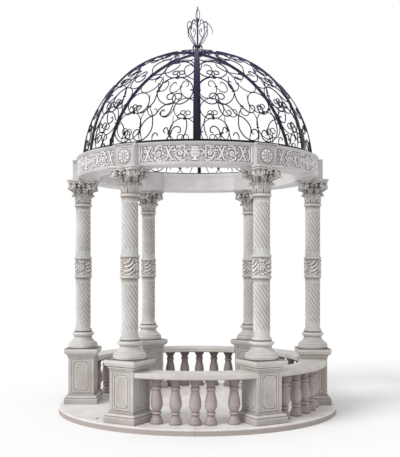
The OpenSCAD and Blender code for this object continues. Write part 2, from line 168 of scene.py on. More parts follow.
def spline(points: Array | list, steps: int) -> Array:
    """A smooth line through the given points, by the Catmull-Rom formula.

    Between two points the line is a cubic whose slope at each point is half the way from the
    point before to the point after.
    """
    p = np.asarray(points, float)
    p = np.concatenate([[2 * p[0] - p[1]], p, [2 * p[-1] - p[-2]]])
    a, b, c, d = p[:-3, None], p[1:-2, None], p[2:-1, None], p[3:, None]
    t = (np.arange(steps) / steps)[None, :, None]
    line = 0.5 * (2 * b + (c - a) * t + (2 * a - 5 * b + 4 * c - d) * t ** 2
                  + (3 * b - a - 3 * c + d) * t ** 3)
    return np.concatenate([line.reshape(-1, p.shape[1]), p[-2:-1]])


def lines_between(*stops: tuple[float, float, int]) -> Array:
    """Rising values made of stretches, each given as (from, to, steps)."""
    return np.unique(np.concatenate([np.linspace(a, b, n + 1) for a, b, n in stops]).round(7))


def lengths(profile: Array) -> Array:
    """Length along a profile at each of its points."""
    return np.append(0, np.cumsum(np.linalg.norm(np.diff(profile, axis=0), axis=1)))


def fine(profile: Array, step: float) -> Array:
    """The same profile with more points, so that no stretch of it is longer than the step."""
    length = lengths(profile)
    at = np.unique(np.concatenate([np.linspace(a, b, max(2, math.ceil((b - a) / step) + 1))
                                   for a, b in zip(length, length[1:])]))
    return stacked(np.interp(at, length, profile[:, 0]), np.interp(at, length, profile[:, 1]))


def hollows(profile: Array, reach: float, gain: float, shine: float) -> Array:
    """Tone along a profile: painted shade above 0 in its inner corners, painted highlight below 0 on its
    outer edges.

    It is the gain times the weighted mean radius around a point less the point's own radius. The
    weights fall off with the length along the profile, as exp(-(gap / reach) squared). The tone
    goes down to -shine and up to the deepest.
    """
    length = lengths(profile)
    weight = near(length[:, None], length[None], reach) * np.gradient(length)[None]
    mean = weight @ profile[:, 0] / weight.sum(axis=1)
    return np.clip(gain * (mean - profile[:, 0]), -shine, DEEPEST)[:, None]


def crevice(lift: Array, reach: int, gain: float) -> Array:
    """Painted shade and highlight of a relief: the gain times how far a point lies below the mean of its
    neighbours.

    The mean is taken over a square of cells by running sums, once along each direction and then
    once more, so that the tone is darkest beside a steep edge and fades from there.
    """
    mean, wide = lift, 2 * reach + 1
    for axis in (0, 1, 0, 1):
        total = np.cumsum(np.concatenate([np.repeat(np.take(mean, [0], axis), reach + 1, axis), mean,
                                          np.repeat(np.take(mean, [-1], axis), reach, axis)], axis), axis)
        n = lift.shape[axis]
        mean = (np.take(total, range(wide, wide + n), axis) - np.take(total, range(n), axis)) / wide
    return np.clip(gain * (mean - lift), PALEST, DEEPEST)


def volute(centre: Point, r: float, turns: float, start: float, hand: int, n: int = 40) -> Array:
    """A spiral that winds inwards, and whose coils crowd towards the middle.

    With t from 0 to 1, the angle is the start plus the turns times t, and the radius is r times
    one minus 0.84 times t to the 0.8.

    Args:
        centre: The middle.
        r: The outer radius.
        turns: Whole turns.
        start: First angle in degrees.
        hand: 1 for anticlockwise, -1 for clockwise.
        n: Number of points.
    """
    t = np.linspace(0, 1, n)
    a = math.radians(start) + hand * 2 * math.pi * turns * t
    q = r * (1 - 0.84 * t ** 0.8)
    return stacked(centre[0] + q * np.cos(a), centre[1] + q * np.sin(a))


def disc(r: float, n: int) -> Array:
    """A square grid of n x n points that is drawn in to a disc of radius r."""
    p = np.stack(np.meshgrid(np.linspace(-1, 1, n), np.linspace(-1, 1, n)), axis=-1)
    return unit(p) * np.max(np.abs(p), axis=-1, keepdims=True) * r


@dataclass
class Relief:
    """A carving over a grid of points (x, z). Each motif raises it where the motif is higher."""

    points: Array
    height: Array | float = 0.0

    def up_to(self, height: Array) -> "Relief":
        """Raises the carving to the given height."""
        self.height = np.maximum(self.height, height)
        return self

    def along(self, line: Array, block: int = 96) -> tuple[Array, Array]:
        """Distance of each point to the nearest point of a dense line, and its place from 0 to 1."""
        flat = self.points.reshape(-1, 2)
        best, place = np.full(len(flat), 1e9), np.zeros(len(flat))
        for first in range(0, len(line), block):
            gap = np.linalg.norm(flat[:, None] - line[None, first:first + block], axis=-1)
            k = gap.argmin(axis=1)
            closest = gap[np.arange(len(flat)), k]
            place = np.where(closest < best, (first + k) / (len(line) - 1), place)
            best = np.minimum(best, closest)
        return best.reshape(self.points.shape[:-1]), place.reshape(self.points.shape[:-1])

    def bead(self, line: Array, width: float, height: float) -> "Relief":
        """A rounded bar along a line: the height times the half round of gap / width."""
        return self.up_to(height * half_round(self.along(line)[0] / width))

    def petals(self, centre: Point, r: float, count: int, height: float) -> "Relief":
        """A flower of rounded petals round a button, with a hollow between the two.

        Every petal is a flattened half ball whose middle lies at 0.64 of the radius. The angle
        within its own sector and the distance from the flower's middle give the distance to it.
        """
        d = self.points - centre
        q = np.hypot(d[..., 0], d[..., 1]) / r
        sector = 2 * math.pi / count
        a = np.mod(np.arctan2(d[..., 1], d[..., 0]), sector) - sector / 2
        away = np.hypot((q * np.cos(a) - 0.64) / 0.36, q * np.sin(a) / (0.64 * math.sin(sector / 2) * 1.02))
        petal = np.clip(1 - away * away, 0, 1) ** 0.35 * (1 - 0.3 * near(a * q, 0, 0.05))
        return self.up_to(height * np.maximum(petal * 0.9, half_round(q / 0.24)))

    def frond(self, line: Array, width: float, lobes: int, height: float) -> "Relief":
        """An acanthus leaf along a line.

        Its half width is the width times sin(pi u) to the 0.6, less 0.3 of |sin(lobes pi u)|,
        where u runs along it. The height is the half round of the distance over that half width,
        with a groove along the middle and finer ones towards the lobes.
        """
        gap, u = self.along(line)
        wide = width * np.clip(np.sin(math.pi * (0.04 + 0.92 * u)), 0, 1) ** 0.6
        v = gap / np.maximum(wide * (1 - 0.3 * np.abs(np.sin(lobes * math.pi * u))), 1e-6)
        vein = 1 - 0.5 * near(v, 0, 0.14) - 0.22 * (0.5 + 0.5 * np.cos(2 * math.pi * (lobes * u - 0.9 * v)))
        return self.up_to(height * half_round(v) * vein)

    def leaflet(self, foot: Point, length: float, width: float, angle: float, height: float) -> "Relief":
        """A pointed leaf: a half ellipse along its length with a groove down its middle."""
        c, s = math.cos(math.radians(angle)), math.sin(math.radians(angle))
        d = self.points - foot
        u = (d[..., 0] * c + d[..., 1] * s) / length
        v = (-d[..., 0] * s + d[..., 1] * c) / width
        wide = half_round(2 * u - 1) * (1 - 0.35 * u)
        inside = half_round(v / np.maximum(wide, 1e-6)) * (u > 0) * (u < 1)
        return self.up_to(height * inside * (1 - 0.45 * near(v, 0, 0.16)))


@dataclass
class Shell:
    """Grids of points that are gathered into one mesh, with a tone for each point.

    The tone is painted light and shade: 0 on an open face, rising to 1 of painted shade at the bottom
    of a recess, and falling below 0 for a painted highlight on an edge.
    """

    points: list[Array] = field(default_factory=list)
    tones: list[Array] = field(default_factory=list)
    faces: list[Array] = field(default_factory=list)
    count: int = 0

    def put(self, points: Array, tones: Array, faces: list[Array]) -> "Shell":
        """Adds points, their tones, and arrays of faces that count from the first new point."""
        self.points.append(points)
        self.tones.append(tones)
        self.faces += [part + self.count for part in faces]
        self.count += len(points)
        return self

    def grid(self, points: Array, wrap: bool = False, tone: Array | float = 0.0,
             ends: Closing = Closing.OPEN, flip: bool = False) -> "Shell":
        """Adds a grid of points as four-sided faces.

        The face of row i and column j joins (i, j), (i, j + 1), (i + 1, j + 1) and (i + 1, j),
        so columns crossed with rows point outwards.

        Args:
            points: rows x columns x 3.
            wrap: Whether the last column joins the first.
            tone: One tone, or rows x columns of them.
            ends: Which end rows are closed with a fan round their middle.
            flip: Whether the faces point the other way.

        Returns:
            The shell itself.
        """
        rows, cols = points.shape[:2]
        ids = np.arange(rows * cols).reshape(rows, cols)
        wide = np.concatenate([ids, ids[:, :1]], axis=1) if wrap else ids
        tone = np.clip(np.broadcast_to(tone, (rows, cols)), PALEST, DEEPEST)
        faces = [stacked(wide[:-1, :-1], wide[:-1, 1:], wide[1:, 1:], wide[1:, :-1]).reshape(-1, 4)]
        closed = [0, rows - 1][:ends.value]
        for k, row in enumerate(closed):
            ring = wide[row] if row else wide[row][::-1]
            faces.append(stacked(ring[:-1], ring[1:], rows * cols + k))
        return self.put(np.concatenate([points.reshape(-1, 3), points[closed].mean(axis=1)]),
                        np.append(tone, tone[closed].mean(axis=1)),
                        [part[:, ::-1] if flip else part for part in faces])

    def lathe(self, profile: Array, columns: int, r: float = 0.0, tone: Array | float = 0.0) -> "Shell":
        """Turns an upward profile of (radius, height) about a vertical axis and closes its ends.

        Args:
            profile: n x 2.
            columns: Points round the axis.
            r: The axis's own x.
            tone: One tone, or n x 1 of them.
        """
        a = np.linspace(0, 2 * math.pi, columns, endpoint=False)
        return self.grid(swept(profile[:, None], a, 0.0) + (r, 0.0, 0.0), True, tone, Closing.FANS)

    def plate(self, face: Array, depth: float, tone: Array | float) -> "Shell":
        """Closes a carved face to a slab: the same outline at a lower x, and walls between the two.

        Args:
            face: rows (rising z) x columns (rising y) x 3, looking towards +X.
            depth: The x of the slab's back.
            tone: Tones of the face.
        """
        edge = np.concatenate([face[0, :-1], face[:-1, -1], face[-1, :0:-1], face[:0:-1, 0]])
        back = edge * (0, 1, 1) + (depth, 0, 0)
        return self.grid(face, tone=tone).grid(np.stack([back, edge]), True, ends=Closing.FIRST)

    def bar(self, path: Array, out: Array | Colour, width: Array | float, depth: Array | float,
            chamfer: float = 0.25) -> "Shell":
        """Carries a chamfered rectangle along a path.

        At each path point the side direction is the outward direction crossed with the path's
        own direction, and the section's eight corners are side times width plus out times depth.

        Args:
            path: n x 3.
            out: One outward direction, or n x 3 of them.
            width, depth: The bar's sizes, the same all along or one for each point.
            chamfer: Share of the smaller size that the chamfers take.
        """
        ahead = unit(np.gradient(path, axis=0))
        side = unit(np.cross(out, ahead))
        up = unit(np.cross(ahead, side))
        w, d = (np.broadcast_to(np.asarray(size, float) / 2, (len(path),))[:, None, None]
                for size in (width, depth))
        e = chamfer * 2 * np.minimum(w, d)
        sx, sy, ex = (np.array(signs)[None, :, None] for signs in (
            (1, 1, 1, -1, -1, -1, -1, 1), (-1, 1, 1, 1, 1, -1, -1, -1), (0, 0, 1, 1, 0, 0, 1, 1)))
        corners = side[:, None] * (sx * (w - e * ex)) + up[:, None] * (sy * (d - e * (1 - ex)))
        return self.grid(path[:, None] + corners, True, ends=Closing.FANS)

    def join(self, part: "Shell", angle: float, shift: tuple[float, float, float] = (0, 0, 0)) -> "Shell":
        """Adds another shell, first moved, then turned about the vertical axis."""
        return self.put(turned(np.concatenate(part.points) + shift, angle), np.concatenate(part.tones),
                        part.faces)

    def copies(self, angles: list[float]) -> "Shell":
        """A new shell with this one turned about the vertical axis to each angle."""
        out = Shell()
        for angle in angles:
            out.join(self, angle)
        return out

    def piece(self, name: str, finish: "Finish", node: str, sharp: float = 35.0) -> None:
        """Makes the mesh object, dresses it and hands it to the frame.

        Args:
            name: The piece's name.
            finish: Its finish.
            node: The CAD node that it stands for.
            sharp: Angle in degrees above which an edge stays sharp.
        """
        faces = [face for part in self.faces for face in part.tolist()]
        mesh = bpy.data.meshes.new(name)
        mesh.from_pydata(np.concatenate(self.points).tolist(), [], faces)
        mesh.polygons.foreach_set("use_smooth", np.ones(len(faces), bool))
        mesh.set_sharp_from_angle(angle=math.radians(sharp))
        tones = mesh.attributes.new("recess", "FLOAT", "POINT")
        tones.data.foreach_set("value", np.concatenate(self.tones).astype(np.float32))
        mesh.update()
        obj = bpy.data.objects.new(name, mesh)
        bpy.context.scene.collection.objects.link(obj)
        mesh.materials.append(finish.material())
        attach(obj, "root")
        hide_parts(node)
        log.info("%s: %d points, %d faces", name, self.count, len(faces))

    def pieces(self, name: str, finish: "Finish", node: str, sharp: float = 35.0) -> None:
        """Makes six pieces, one turned to each column or bay, with names and nodes numbered from 1."""
        for i, angle in enumerate(ALL_ROUND, 1):
            self.copies([angle]).piece(f"{name}_{i}", finish, f"{node}_{i}", sharp)


# Finishes


def srgb(colour: Colour) -> tuple[float, float, float, float]:
    """A colour of 0 to 255 in each channel, turned to linear light."""
    c = np.array(colour) / 255.0
    return (*np.where(c <= 0.04045, c / 12.92, ((c + 0.055) / 1.055) ** 2.4).tolist(), 1.0)


@dataclass
class Nodes:
    """A node tree, with calls that add nodes to it and link them."""

    tree: bpy.types.NodeTree

    def put(self, value: object, socket: bpy.types.NodeSocket) -> None:
        """Links a socket to an input, or sets the input to a constant."""
        if isinstance(value, bpy.types.NodeSocket):
            self.tree.links.new(value, socket)
        else:
            socket.default_value = value

    def add(self, kind: str, inputs: dict, out: int | str = 0, **options: object) -> bpy.types.NodeSocket:
        """Adds a node with its options and inputs.

        Args:
            kind: The node's kind, without its common prefix.
            inputs: A socket or a constant for each input, by number or name.
            out: The output that is wanted.

        Returns:
            That output.
        """
        node = self.tree.nodes.new("ShaderNode" + kind)
        for name, value in options.items():
            setattr(node, name, value)
        for name, value in inputs.items():
            self.put(value, node.inputs[name])
        return node.outputs[out]

    def place(self) -> bpy.types.NodeSocket:
        """The object's own coordinates."""
        return self.add("TexCoord", {}, "Object")

    def height(self) -> bpy.types.NodeSocket:
        """The height of a point."""
        return self.add("SeparateXYZ", {0: self.place()}, "Z")

    def noise(self, scale: float, detail: float, roughness: float = 0.5,
              distortion: float = 0.0) -> bpy.types.NodeSocket:
        """Fractal noise over the object's own coordinates."""
        return self.add("TexNoise", {"Vector": self.place(), "Scale": scale, "Detail": detail,
                                     "Roughness": roughness, "Distortion": distortion}, "Fac")

    def mix(self, share: object, first: object, second: object) -> bpy.types.NodeSocket:
        """Mixes two colours by a share."""
        return self.add("Mix", {0: share, 6: first, 7: second}, 2, data_type="RGBA", clamp_factor=True)

    def ramp(self, value: bpy.types.NodeSocket, low: float, high: float, to_low: float = 0.0,
             to_high: float = 1.0) -> bpy.types.NodeSocket:
        """Carries a value from the range low to high to another range, and keeps it there."""
        return self.add("MapRange", {0: value, 1: low, 2: high, 3: to_low, 4: to_high}, clamp=True)

    def shade(self, colour: object, rough: object, bump: bpy.types.NodeSocket, strength: float,
              distance: float) -> bpy.types.Node:
        """Gives the material's shader its colour, roughness and bump, and returns the shader."""
        shader = self.tree.nodes["Principled BSDF"]
        normal = self.add("Bump", {"Strength": strength, "Distance": distance, "Height": bump}, "Normal")
        for name, value in (("Base Color", colour), ("Roughness", rough), ("Normal", normal)):
            self.put(value, shader.inputs[name])
        return shader


@dataclass(frozen=True)
class Finish:
    """A material of nodes that is made once and kept by its slot's name."""

    slot: str

    def material(self) -> bpy.types.Material:
        """The finish's material, made on the first call."""
        name = "finish_" + self.slot
        mat = bpy.data.materials.get(name)
        if mat is None:
            mat = bpy.data.materials.new(name)
            mat.use_nodes = True
            self.dress(Nodes(mat.node_tree))
        return mat

    def dress(self, nodes: Nodes) -> None:
        """Fills the material's nodes."""
        raise NotImplementedError


@dataclass(frozen=True)
class Marble(Finish):
    """Polished to weathered marble: clouds, thin veins, painted shade in recesses, painted highlights on
    edges and fine grain.
    """

    pale: Colour
    dark: Colour
    # recess is the colour of the painted shade in recesses, and also of the stain specks and the darker foot
    recess: Colour
    veins: float = 0.35
    stain: float = 0.12
    fade: float = 0.0
    fade_span: Point = (0.07, 0.30)
    hole: tuple[float, float, float] | None = None
    vein: Colour = (168, 162, 160)
    # the colour of the painted highlight on outer edges and raised tops
    painted_highlight: Colour = (244, 242, 239)
    shadow: Colour = (24, 22, 22)
    rough: float = 0.5

    def dress(self, nodes: Nodes) -> None:
        """Clouds of two colours, and over them veins, specks, painted shade in recesses, painted highlights
        on edges, the drain hole's painted shadow and foot.

        A vein runs where a bent noise passes its middle. The foot of a piece fades to the recess
        colour over the heights of fade_span.
        """
        specks, grain = nodes.noise(38.0, 5.0, 0.7), nodes.noise(260.0, 2.0)
        cloud = nodes.ramp(nodes.noise(3.2, 6.0, 0.62), 0.36, 0.66)
        colour = nodes.mix(cloud, srgb(self.dark), srgb(self.pale))
        side = nodes.add("Math", {0: nodes.noise(2.1, 7.0, 0.58, 1.6), 1: 0.5}, operation="SUBTRACT")
        middle = nodes.add("Math", {0: side}, operation="ABSOLUTE")
        # the recess attribute holds each point's painted light and shade
        tone = nodes.add("Attribute", {}, "Fac", attribute_name="recess")
        layers = [(nodes.ramp(middle, 0.0, 0.022, self.veins, 0.0), self.vein),
                  (nodes.ramp(specks, 0.56, 0.74, 0.0, self.stain), self.recess),
                  # painted shade where the tone is above 0, and a painted highlight where it is below 0
                  (nodes.ramp(tone, 0.05, DEEPEST, 0.0, 0.85), self.recess),
                  (nodes.ramp(tone, PALEST, -0.04, 0.75, 0.0), self.painted_highlight)]
        if self.hole:
            x, y, r = self.hole
            flat = nodes.add("VectorMath", {0: nodes.place(), 1: (1.0, 1.0, 0.0)}, operation="MULTIPLY")
            gap = nodes.add("VectorMath", {0: flat, 1: (x, y, 0.0)}, "Value", operation="DISTANCE")
            layers.append((nodes.ramp(gap, r, r * 1.25, 1.0, 0.0), self.shadow))
        if self.fade > 0:
            layers.append((nodes.ramp(nodes.height(), *self.fade_span, self.fade, 0.0), self.recess))
        for share, over in layers:
            colour = nodes.mix(share, colour, srgb(over))
        rough = nodes.ramp(specks, 0.3, 0.7, self.rough - 0.08, self.rough + 0.12)
        nodes.shade(colour, rough, nodes.mix(0.45, grain, specks), 0.25, 0.0012)


@dataclass(frozen=True)
class Iron(Finish):
    """Painted wrought iron: near black at the ring, with an indigo sheen higher up."""

    low: Colour = (7, 6, 9)
    high: Colour = (46, 39, 80)
    span: Point = (3.3, 4.45)
    rough: float = 0.42

    def dress(self, nodes: Nodes) -> None:
        """Colour from the height of a point, with small darker clouds and a hammered bump."""
        clouds, hammer = nodes.noise(24.0, 6.0, 0.65), nodes.noise(95.0, 2.0)
        colour = nodes.mix(nodes.ramp(nodes.height(), *self.span), srgb(self.low), srgb(self.high))
        colour = nodes.mix(nodes.ramp(clouds, 0.5, 0.72, 0.0, 0.5), colour, srgb(self.low))
        rough = nodes.ramp(clouds, 0.3, 0.7, self.rough - 0.1, self.rough + 0.18)
        shader = nodes.shade(colour, rough, hammer, 0.3, 0.0015)
        shader.inputs["Metallic"].default_value = 0.12
        shader.inputs["Specular IOR Level"].default_value = 0.25


DRAIN_R, DRAIN_ANGLE = 1.620, math.radians(225)
DRAIN = (DRAIN_R * math.cos(DRAIN_ANGLE), DRAIN_R * math.sin(DRAIN_ANGLE), 0.020)
FLOOR_MARBLE = Marble("floor_marble", (240, 238, 236), (224, 219, 217), (146, 134, 128), veins=0.2,
                      fade=0.85, fade_span=(0.050, 0.067), hole=DRAIN)
BENCH_MARBLE = Marble("bench_marble", (208, 203, 198), (188, 183, 178), (140, 128, 120), veins=0.25)
PEDESTAL_MARBLE = Marble("pedestal_marble", (191, 186, 182), (167, 160, 155), (96, 83, 77), stain=0.18,
                         fade=0.10)
COLUMN_MARBLE = Marble("column_marble", (205, 203, 200), (184, 182, 178), (108, 91, 84))
BALUSTER_MARBLE = Marble("baluster_marble", (176, 165, 163), (152, 139, 137), (84, 70, 67), stain=0.2,
                         fade=0.12)
FRIEZE_MARBLE = Marble("frieze_marble", (208, 205, 206), (190, 186, 188), (80, 72, 72))
WROUGHT_IRON = Iron("wrought_iron")


# Marble


@dataclass
class Levels:
    """Heights and radii that the parts of the gazebo share. The upper ones come from the frame."""

    floor_t: float = 0.070
    circle_r: float = 1.500
    pedestal_top: float = 0.780
    shaft_foot: float = 0.992
    rail_t: float = 0.066
    shaft_top: float = field(init=False)
    capital_top: float = field(init=False)
    frieze_top: float = field(init=False)
    rail_top: float = field(init=False)

    def __post_init__(self) -> None:
        """Takes the levels above the shafts from the frame's own boxes."""
        self.shaft_top, self.capital_top, self.frieze_top, self.rail_top = (
            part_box(node)[1][2] for node in ("shaft_1", "capital_1", "frieze_1", "rail_front"))


@dataclass
class Part:
    """A kind of part of the gazebo, which build() makes on all of its places."""

    levels: Levels


@dataclass
class Pedestals(Part):
    """Square pedestals with a plinth, a sloped moulding, a sunk panel on each side and a coved cap."""

    base_w: float = 0.430
    plinth_h: float = 0.072
    slope_h: float = 0.054
    die_w: float = 0.330
    die_h: float = 0.460
    cap_w: float = 0.430
    cap_h: float = 0.124
    panel_w: float = 0.246
    panel_end: float = 0.014
    line: float = 0.009
    sink: float = 0.005
    corner: float = 0.0025

    def outline(self) -> tuple[Array, Array, Array]:
        """Outlines of the foot, the die's rows and the cap, as (half width, height)."""
        b, d, c = self.base_w / 2, self.die_w / 2, self.cap_w / 2
        s0, s1, t = self.plinth_h, self.plinth_h + self.slope_h, self.slope_h
        step, k0 = (b - d) / 5, s1 + self.die_h
        foot = np.concatenate([[[b, 0.0], [b, s0], [b - step, s0]],
                               arc(b - 3 * step, s0 + 0.2 * t, 2 * step, 0.45 * t, 0, 90, 8),
                               arc(b - 3 * step, s1 - 0.1 * t, 1.2 * step, 0.25 * t, 270, 180, 5),
                               [[b - 4.2 * step, s1], [d, s1], [d, s1 + 0.004]]])
        shares = np.array([[0, 0], [0.02, 0.06], [0.12, 0.10], [0.13, 0.19], [0.28, 0.21], [0.30, 0.32],
                           [0.24, 0.34], [0.24, 0.37], [0.52, 0.39], [0.71, 0.45], [0.88, 0.58], [0.97, 0.70],
                           [1.0, 0.80], [0.97, 0.91], [0.86, 1.0]])
        cap = np.concatenate([[[d, k0 - 0.004]], (d, k0) + shares * (c - d, self.cap_h)])
        side, half = self.die_h / 2 - 0.006, self.die_h / 2 - self.panel_end
        rows = s1 + self.die_h / 2 + lines_between(
            (-side, -half - 0.003, 2), (-half - 0.003, -half + 0.063, 18), (-half + 0.063, half - 0.063, 4),
            (half - 0.063, half + 0.003, 18), (half + 0.003, side, 2))
        foot, cap = (fine(softened(part, self.corner), 0.009) for part in (foot, cap))
        return foot, stacked(d, rows), cap

    def panel(self, y: Array, z: Array) -> Array:
        """Depth of the grooves round the panel, 0 on the face and 1 at their bottom.

        The distance to a rectangle whose corners are notched in quarter rounds is the largest of
        the two distances to its sides and the notch radius less the gap to its corner. A thin
        groove follows a plain rectangle, and a wider one a notched rectangle inside it.
        """
        h = self.die_h - 2 * self.panel_end
        py, pz = np.abs(y), np.abs(z - (self.plinth_h + self.slope_h + self.die_h / 2))

        def inside(inset: float, notch: float = 0.0) -> Array:
            """1 within the outline that lies by the inset inside the panel's edge."""
            a, b = self.panel_w / 2 - inset, h / 2 - inset
            gap = np.maximum(py - a, pz - b)
            if notch > 0:
                gap = np.maximum(gap, notch - np.hypot(py - a, pz - b))
            return ease(-gap / self.corner + 0.5)

        notch, inset = self.panel_w / 10, 3 * self.line
        return np.maximum(inside(0.0) - inside(self.line / 2),
                          inside(inset, notch) - inside(inset + self.line, notch))

    def build(self) -> None:
        """A pedestal of four mitred sides for each column."""
        foot, die, cap = self.outline()
        rows = np.concatenate([foot, die, cap])
        u = lines_between((-0.165, -0.126, 2), (-0.126, -0.060, 18), (-0.060, 0.060, 3), (0.060, 0.126, 18),
                          (0.126, 0.165, 2)) / (self.die_w / 2)
        half, z = rows[:, :1], rows[:, 1:]
        y = (half - 0.003) * u
        depth = np.zeros((len(rows), len(u)))
        face = slice(len(foot), len(foot) + len(die))
        depth[face] = self.panel(y[face], z[face])
        side = stacked(half - self.sink * depth, y, z)
        points = np.concatenate([turned(side, k * math.pi / 2) for k in range(4)], axis=1)
        # Painted shade in the panel's grooves with a painted highlight beside them, and painted shade in the
        # hollows of the mouldings and at the foot, with painted highlights on their outer edges
        tone = depth * 0.75 + 0.6 * np.minimum(crevice(1 - depth, 2, 1.2), 0)
        edge = hollows(rows, 0.010, 620.0, 0.25) + 0.8 * near(z, 0, 0.006)
        Shell().grid(points + (self.levels.circle_r, 0, self.levels.floor_t), True,
                     np.concatenate([tone] * 4, axis=1) + edge,
                     Closing.FANS).pieces("pedestal_stone", PEDESTAL_MARBLE, "pedestal")


@dataclass
class ColumnBases(Part):
    """Turned base stones: a stepped torus, a long scotia and a rounded collar."""

    height: float = 0.212
    torus_d: float = 0.382

    def build(self) -> None:
        """All six stones as one piece."""
        shares = np.array([
            [0.97, 0], [1.00, 0.05], [1.00, 0.20], [0.985, 0.24], [0.95, 0.26], [0.95, 0.31], [0.93, 0.35],
            [0.85, 0.37], [0.80, 0.40], [0.73, 0.46], [0.665, 0.53], [0.625, 0.60], [0.60, 0.66],
            [0.595, 0.71], [0.64, 0.75], [0.71, 0.79], [0.75, 0.84], [0.757, 0.875], [0.74, 0.91],
            [0.70, 0.945], [0.665, 0.965], [0.61, 0.98], [0.61, 1.0]])
        outline = fine(softened(shares * (self.torus_d / 2, self.height), 0.004), 0.005)
        v = outline[:, 1:] / self.height
        # Painted shade in the hollows of the outline and at its top and foot, with painted highlights on its
        # outer edges
        tone = hollows(outline, 0.010, 400.0, 0.15) + near(v, 1, 0.02) + 0.8 * near(v, 0, 0.03)
        one = Shell().lathe(outline + (0, self.levels.pedestal_top), 72, self.levels.circle_r, tone)
        one.copies(ALL_ROUND).piece("column_base_stones", COLUMN_MARBLE, "column_bases")


@dataclass
class Shafts(Part):
    """Shafts with two stretches of spiral flutes, a carved band between rings, and rings at both ends."""

    d: float = 0.196
    ring_d: float = 0.232
    foot_h: float = 0.038
    band_ring_h: float = 0.034
    band_h: float = 0.205
    foot_plain: float = 0.076
    flute_h: Point = (0.525, 0.533)
    flutes: int = 12
    depth: float = 0.011
    carving: float = 0.010
    turn: float = 230.0
    columns: int = 168
    band: Point = (0.0, 0.0)

    def outline(self) -> tuple[Array, list[Point]]:
        """Rows of a shaft as (radius, height), and where the fluted stretches lie."""
        r, q = self.d / 2, self.ring_d / 2
        total = self.levels.shaft_top - self.levels.shaft_foot
        plain = (total - 2 * self.foot_h - self.foot_plain - sum(self.flute_h) - 2 * self.band_ring_h
                 - self.band_h) / 3
        z1 = self.foot_h + self.foot_plain
        z2 = z1 + self.flute_h[0]
        z3 = z2 + plain
        z4 = z3 + 2 * self.band_ring_h + self.band_h
        z5 = z4 + plain
        z6 = z5 + self.flute_h[1]

        def ring(z: float, h: float) -> Array:
            """A half-round ring of height h from z up."""
            return arc(q - h / 2, z + h / 2, h / 2, h / 2, -90, 90, 8)

        def fluted(z0: float, z1: float) -> Array:
            """Rows of a fluted stretch, closer together at its ends."""
            return stacked(r, lines_between((z0 - 0.004, z0 + 0.024, 9), (z0 + 0.024, z1 - 0.024, 16),
                                            (z1 - 0.024, z1 + 0.004, 9)))

        self.band = b0, b1 = z3 + self.band_ring_h, z4 - self.band_ring_h
        band = np.linspace(b0, b1, 66)
        drum = stacked(r + 0.006 * ease((band - b0) / 0.01) * ease((b1 - band) / 0.01), band)
        rows = [ring(0, self.foot_h), fluted(z1, z2), ring(z3, self.band_ring_h), drum[1:-1],
                ring(b1, self.band_ring_h), fluted(z5, z6), ring(z6 + plain, self.foot_h)]
        return np.concatenate(rows), [(z1, z2), (z5, z6)]

    def foliage(self, x: Array, z: Array) -> Array:
        """Height of the carved band from 0 to 1: long acanthus leaves beside a flower.

        The pattern repeats three times round the shaft. In each part bent leaves rise to the
        right, and beside them a flower stands in a swirl of nine leaflets. Small leaflets at steps
        of the golden angle fill the ground.
        """
        tall = self.band[1] - self.band[0]
        pitch = 2 * math.pi * (self.d / 2) / 3
        plan = (([(-0.04, 0.10), (0.18, 0.06), (0.36, 0.14), (0.54, 0.30)], 0.010, 5),
                ([(-0.08, 0.34), (0.10, 0.27), (0.34, 0.36), (0.54, 0.58)], 0.015, 7),
                ([(0.00, 0.52), (0.16, 0.50), (0.36, 0.62), (0.50, 0.88)], 0.012, 6),
                ([(-0.10, 0.70), (0.08, 0.70), (0.24, 0.80), (0.34, 0.97)], 0.011, 5),
                ([(0.56, 0.95), (0.66, 0.84), (0.80, 0.84), (0.90, 0.94)], 0.009, 4),
                ([(0.56, 0.06), (0.68, 0.13), (0.80, 0.10), (0.90, 0.20)], 0.010, 4))
        size = np.array([pitch, tall])
        carving = Relief(stacked(np.mod(x, pitch), z - self.band[0]))
        for shift in (-1, 0, 1):
            move = np.array([shift * pitch, 0])
            for stops, width, lobes in plan:
                carving.frond(spline(np.array(stops) * size, 10) + move, width, lobes, 1.0)
            centre = (0.70, 0.50) * size + move
            carving.petals(centre, 0.018, 6, 1.0)
            for angle in range(0, 360, 40):
                a = math.radians(angle)
                foot = centre + 0.022 * np.array([math.cos(a), math.sin(a)])
                carving.leaflet(foot, 0.034, 0.008, angle + 45, 0.9)
            for i in range(22):
                foot = (0.05 * i, 0.5 + 0.42 * math.sin(2.4 * i)) * size + move
                carving.leaflet(foot, 0.020, 0.007, GOLDEN * i, 0.6)
        v = carving.points[..., 1] / tall
        return carving.up_to(0.8 * ease(np.maximum(1 - v / 0.05, 1 - (1 - v) / 0.05))).height

    def cut(self, a: Array, z: Array, stretches: list[Point]) -> tuple[Array, Array]:
        """Depth of the flutes from 0 to 1: a scallop across each flute that ends in a half round.

        Args:
            a: Angles of the columns.
            z: Heights of the rows.
            stretches: Where the fluted stretches lie.

        Returns:
            The depth, and how near each column is to the shaded side of its flute.
        """
        s = np.mod(a * self.flutes / (2 * math.pi), 1.0) * 2 - 1
        side = near(s, 0.5, 0.22)[None]
        s = np.clip(np.abs(s) / 0.86, 0, 1)[None]
        depth = np.zeros((len(z), len(a)))
        half = math.pi * self.d / self.flutes / 2
        for z0, z1 in stretches:
            reach = np.minimum(z[:, None] - z0, z1 - z[:, None]) / half
            end = half_round(1 - np.clip(reach, 0, 1))
            inside = half_round(s / np.maximum(end, 1e-3)) * (reach > 0)
            depth = np.maximum(depth, np.where(reach >= 1, half_round(s), inside))
        return depth, side

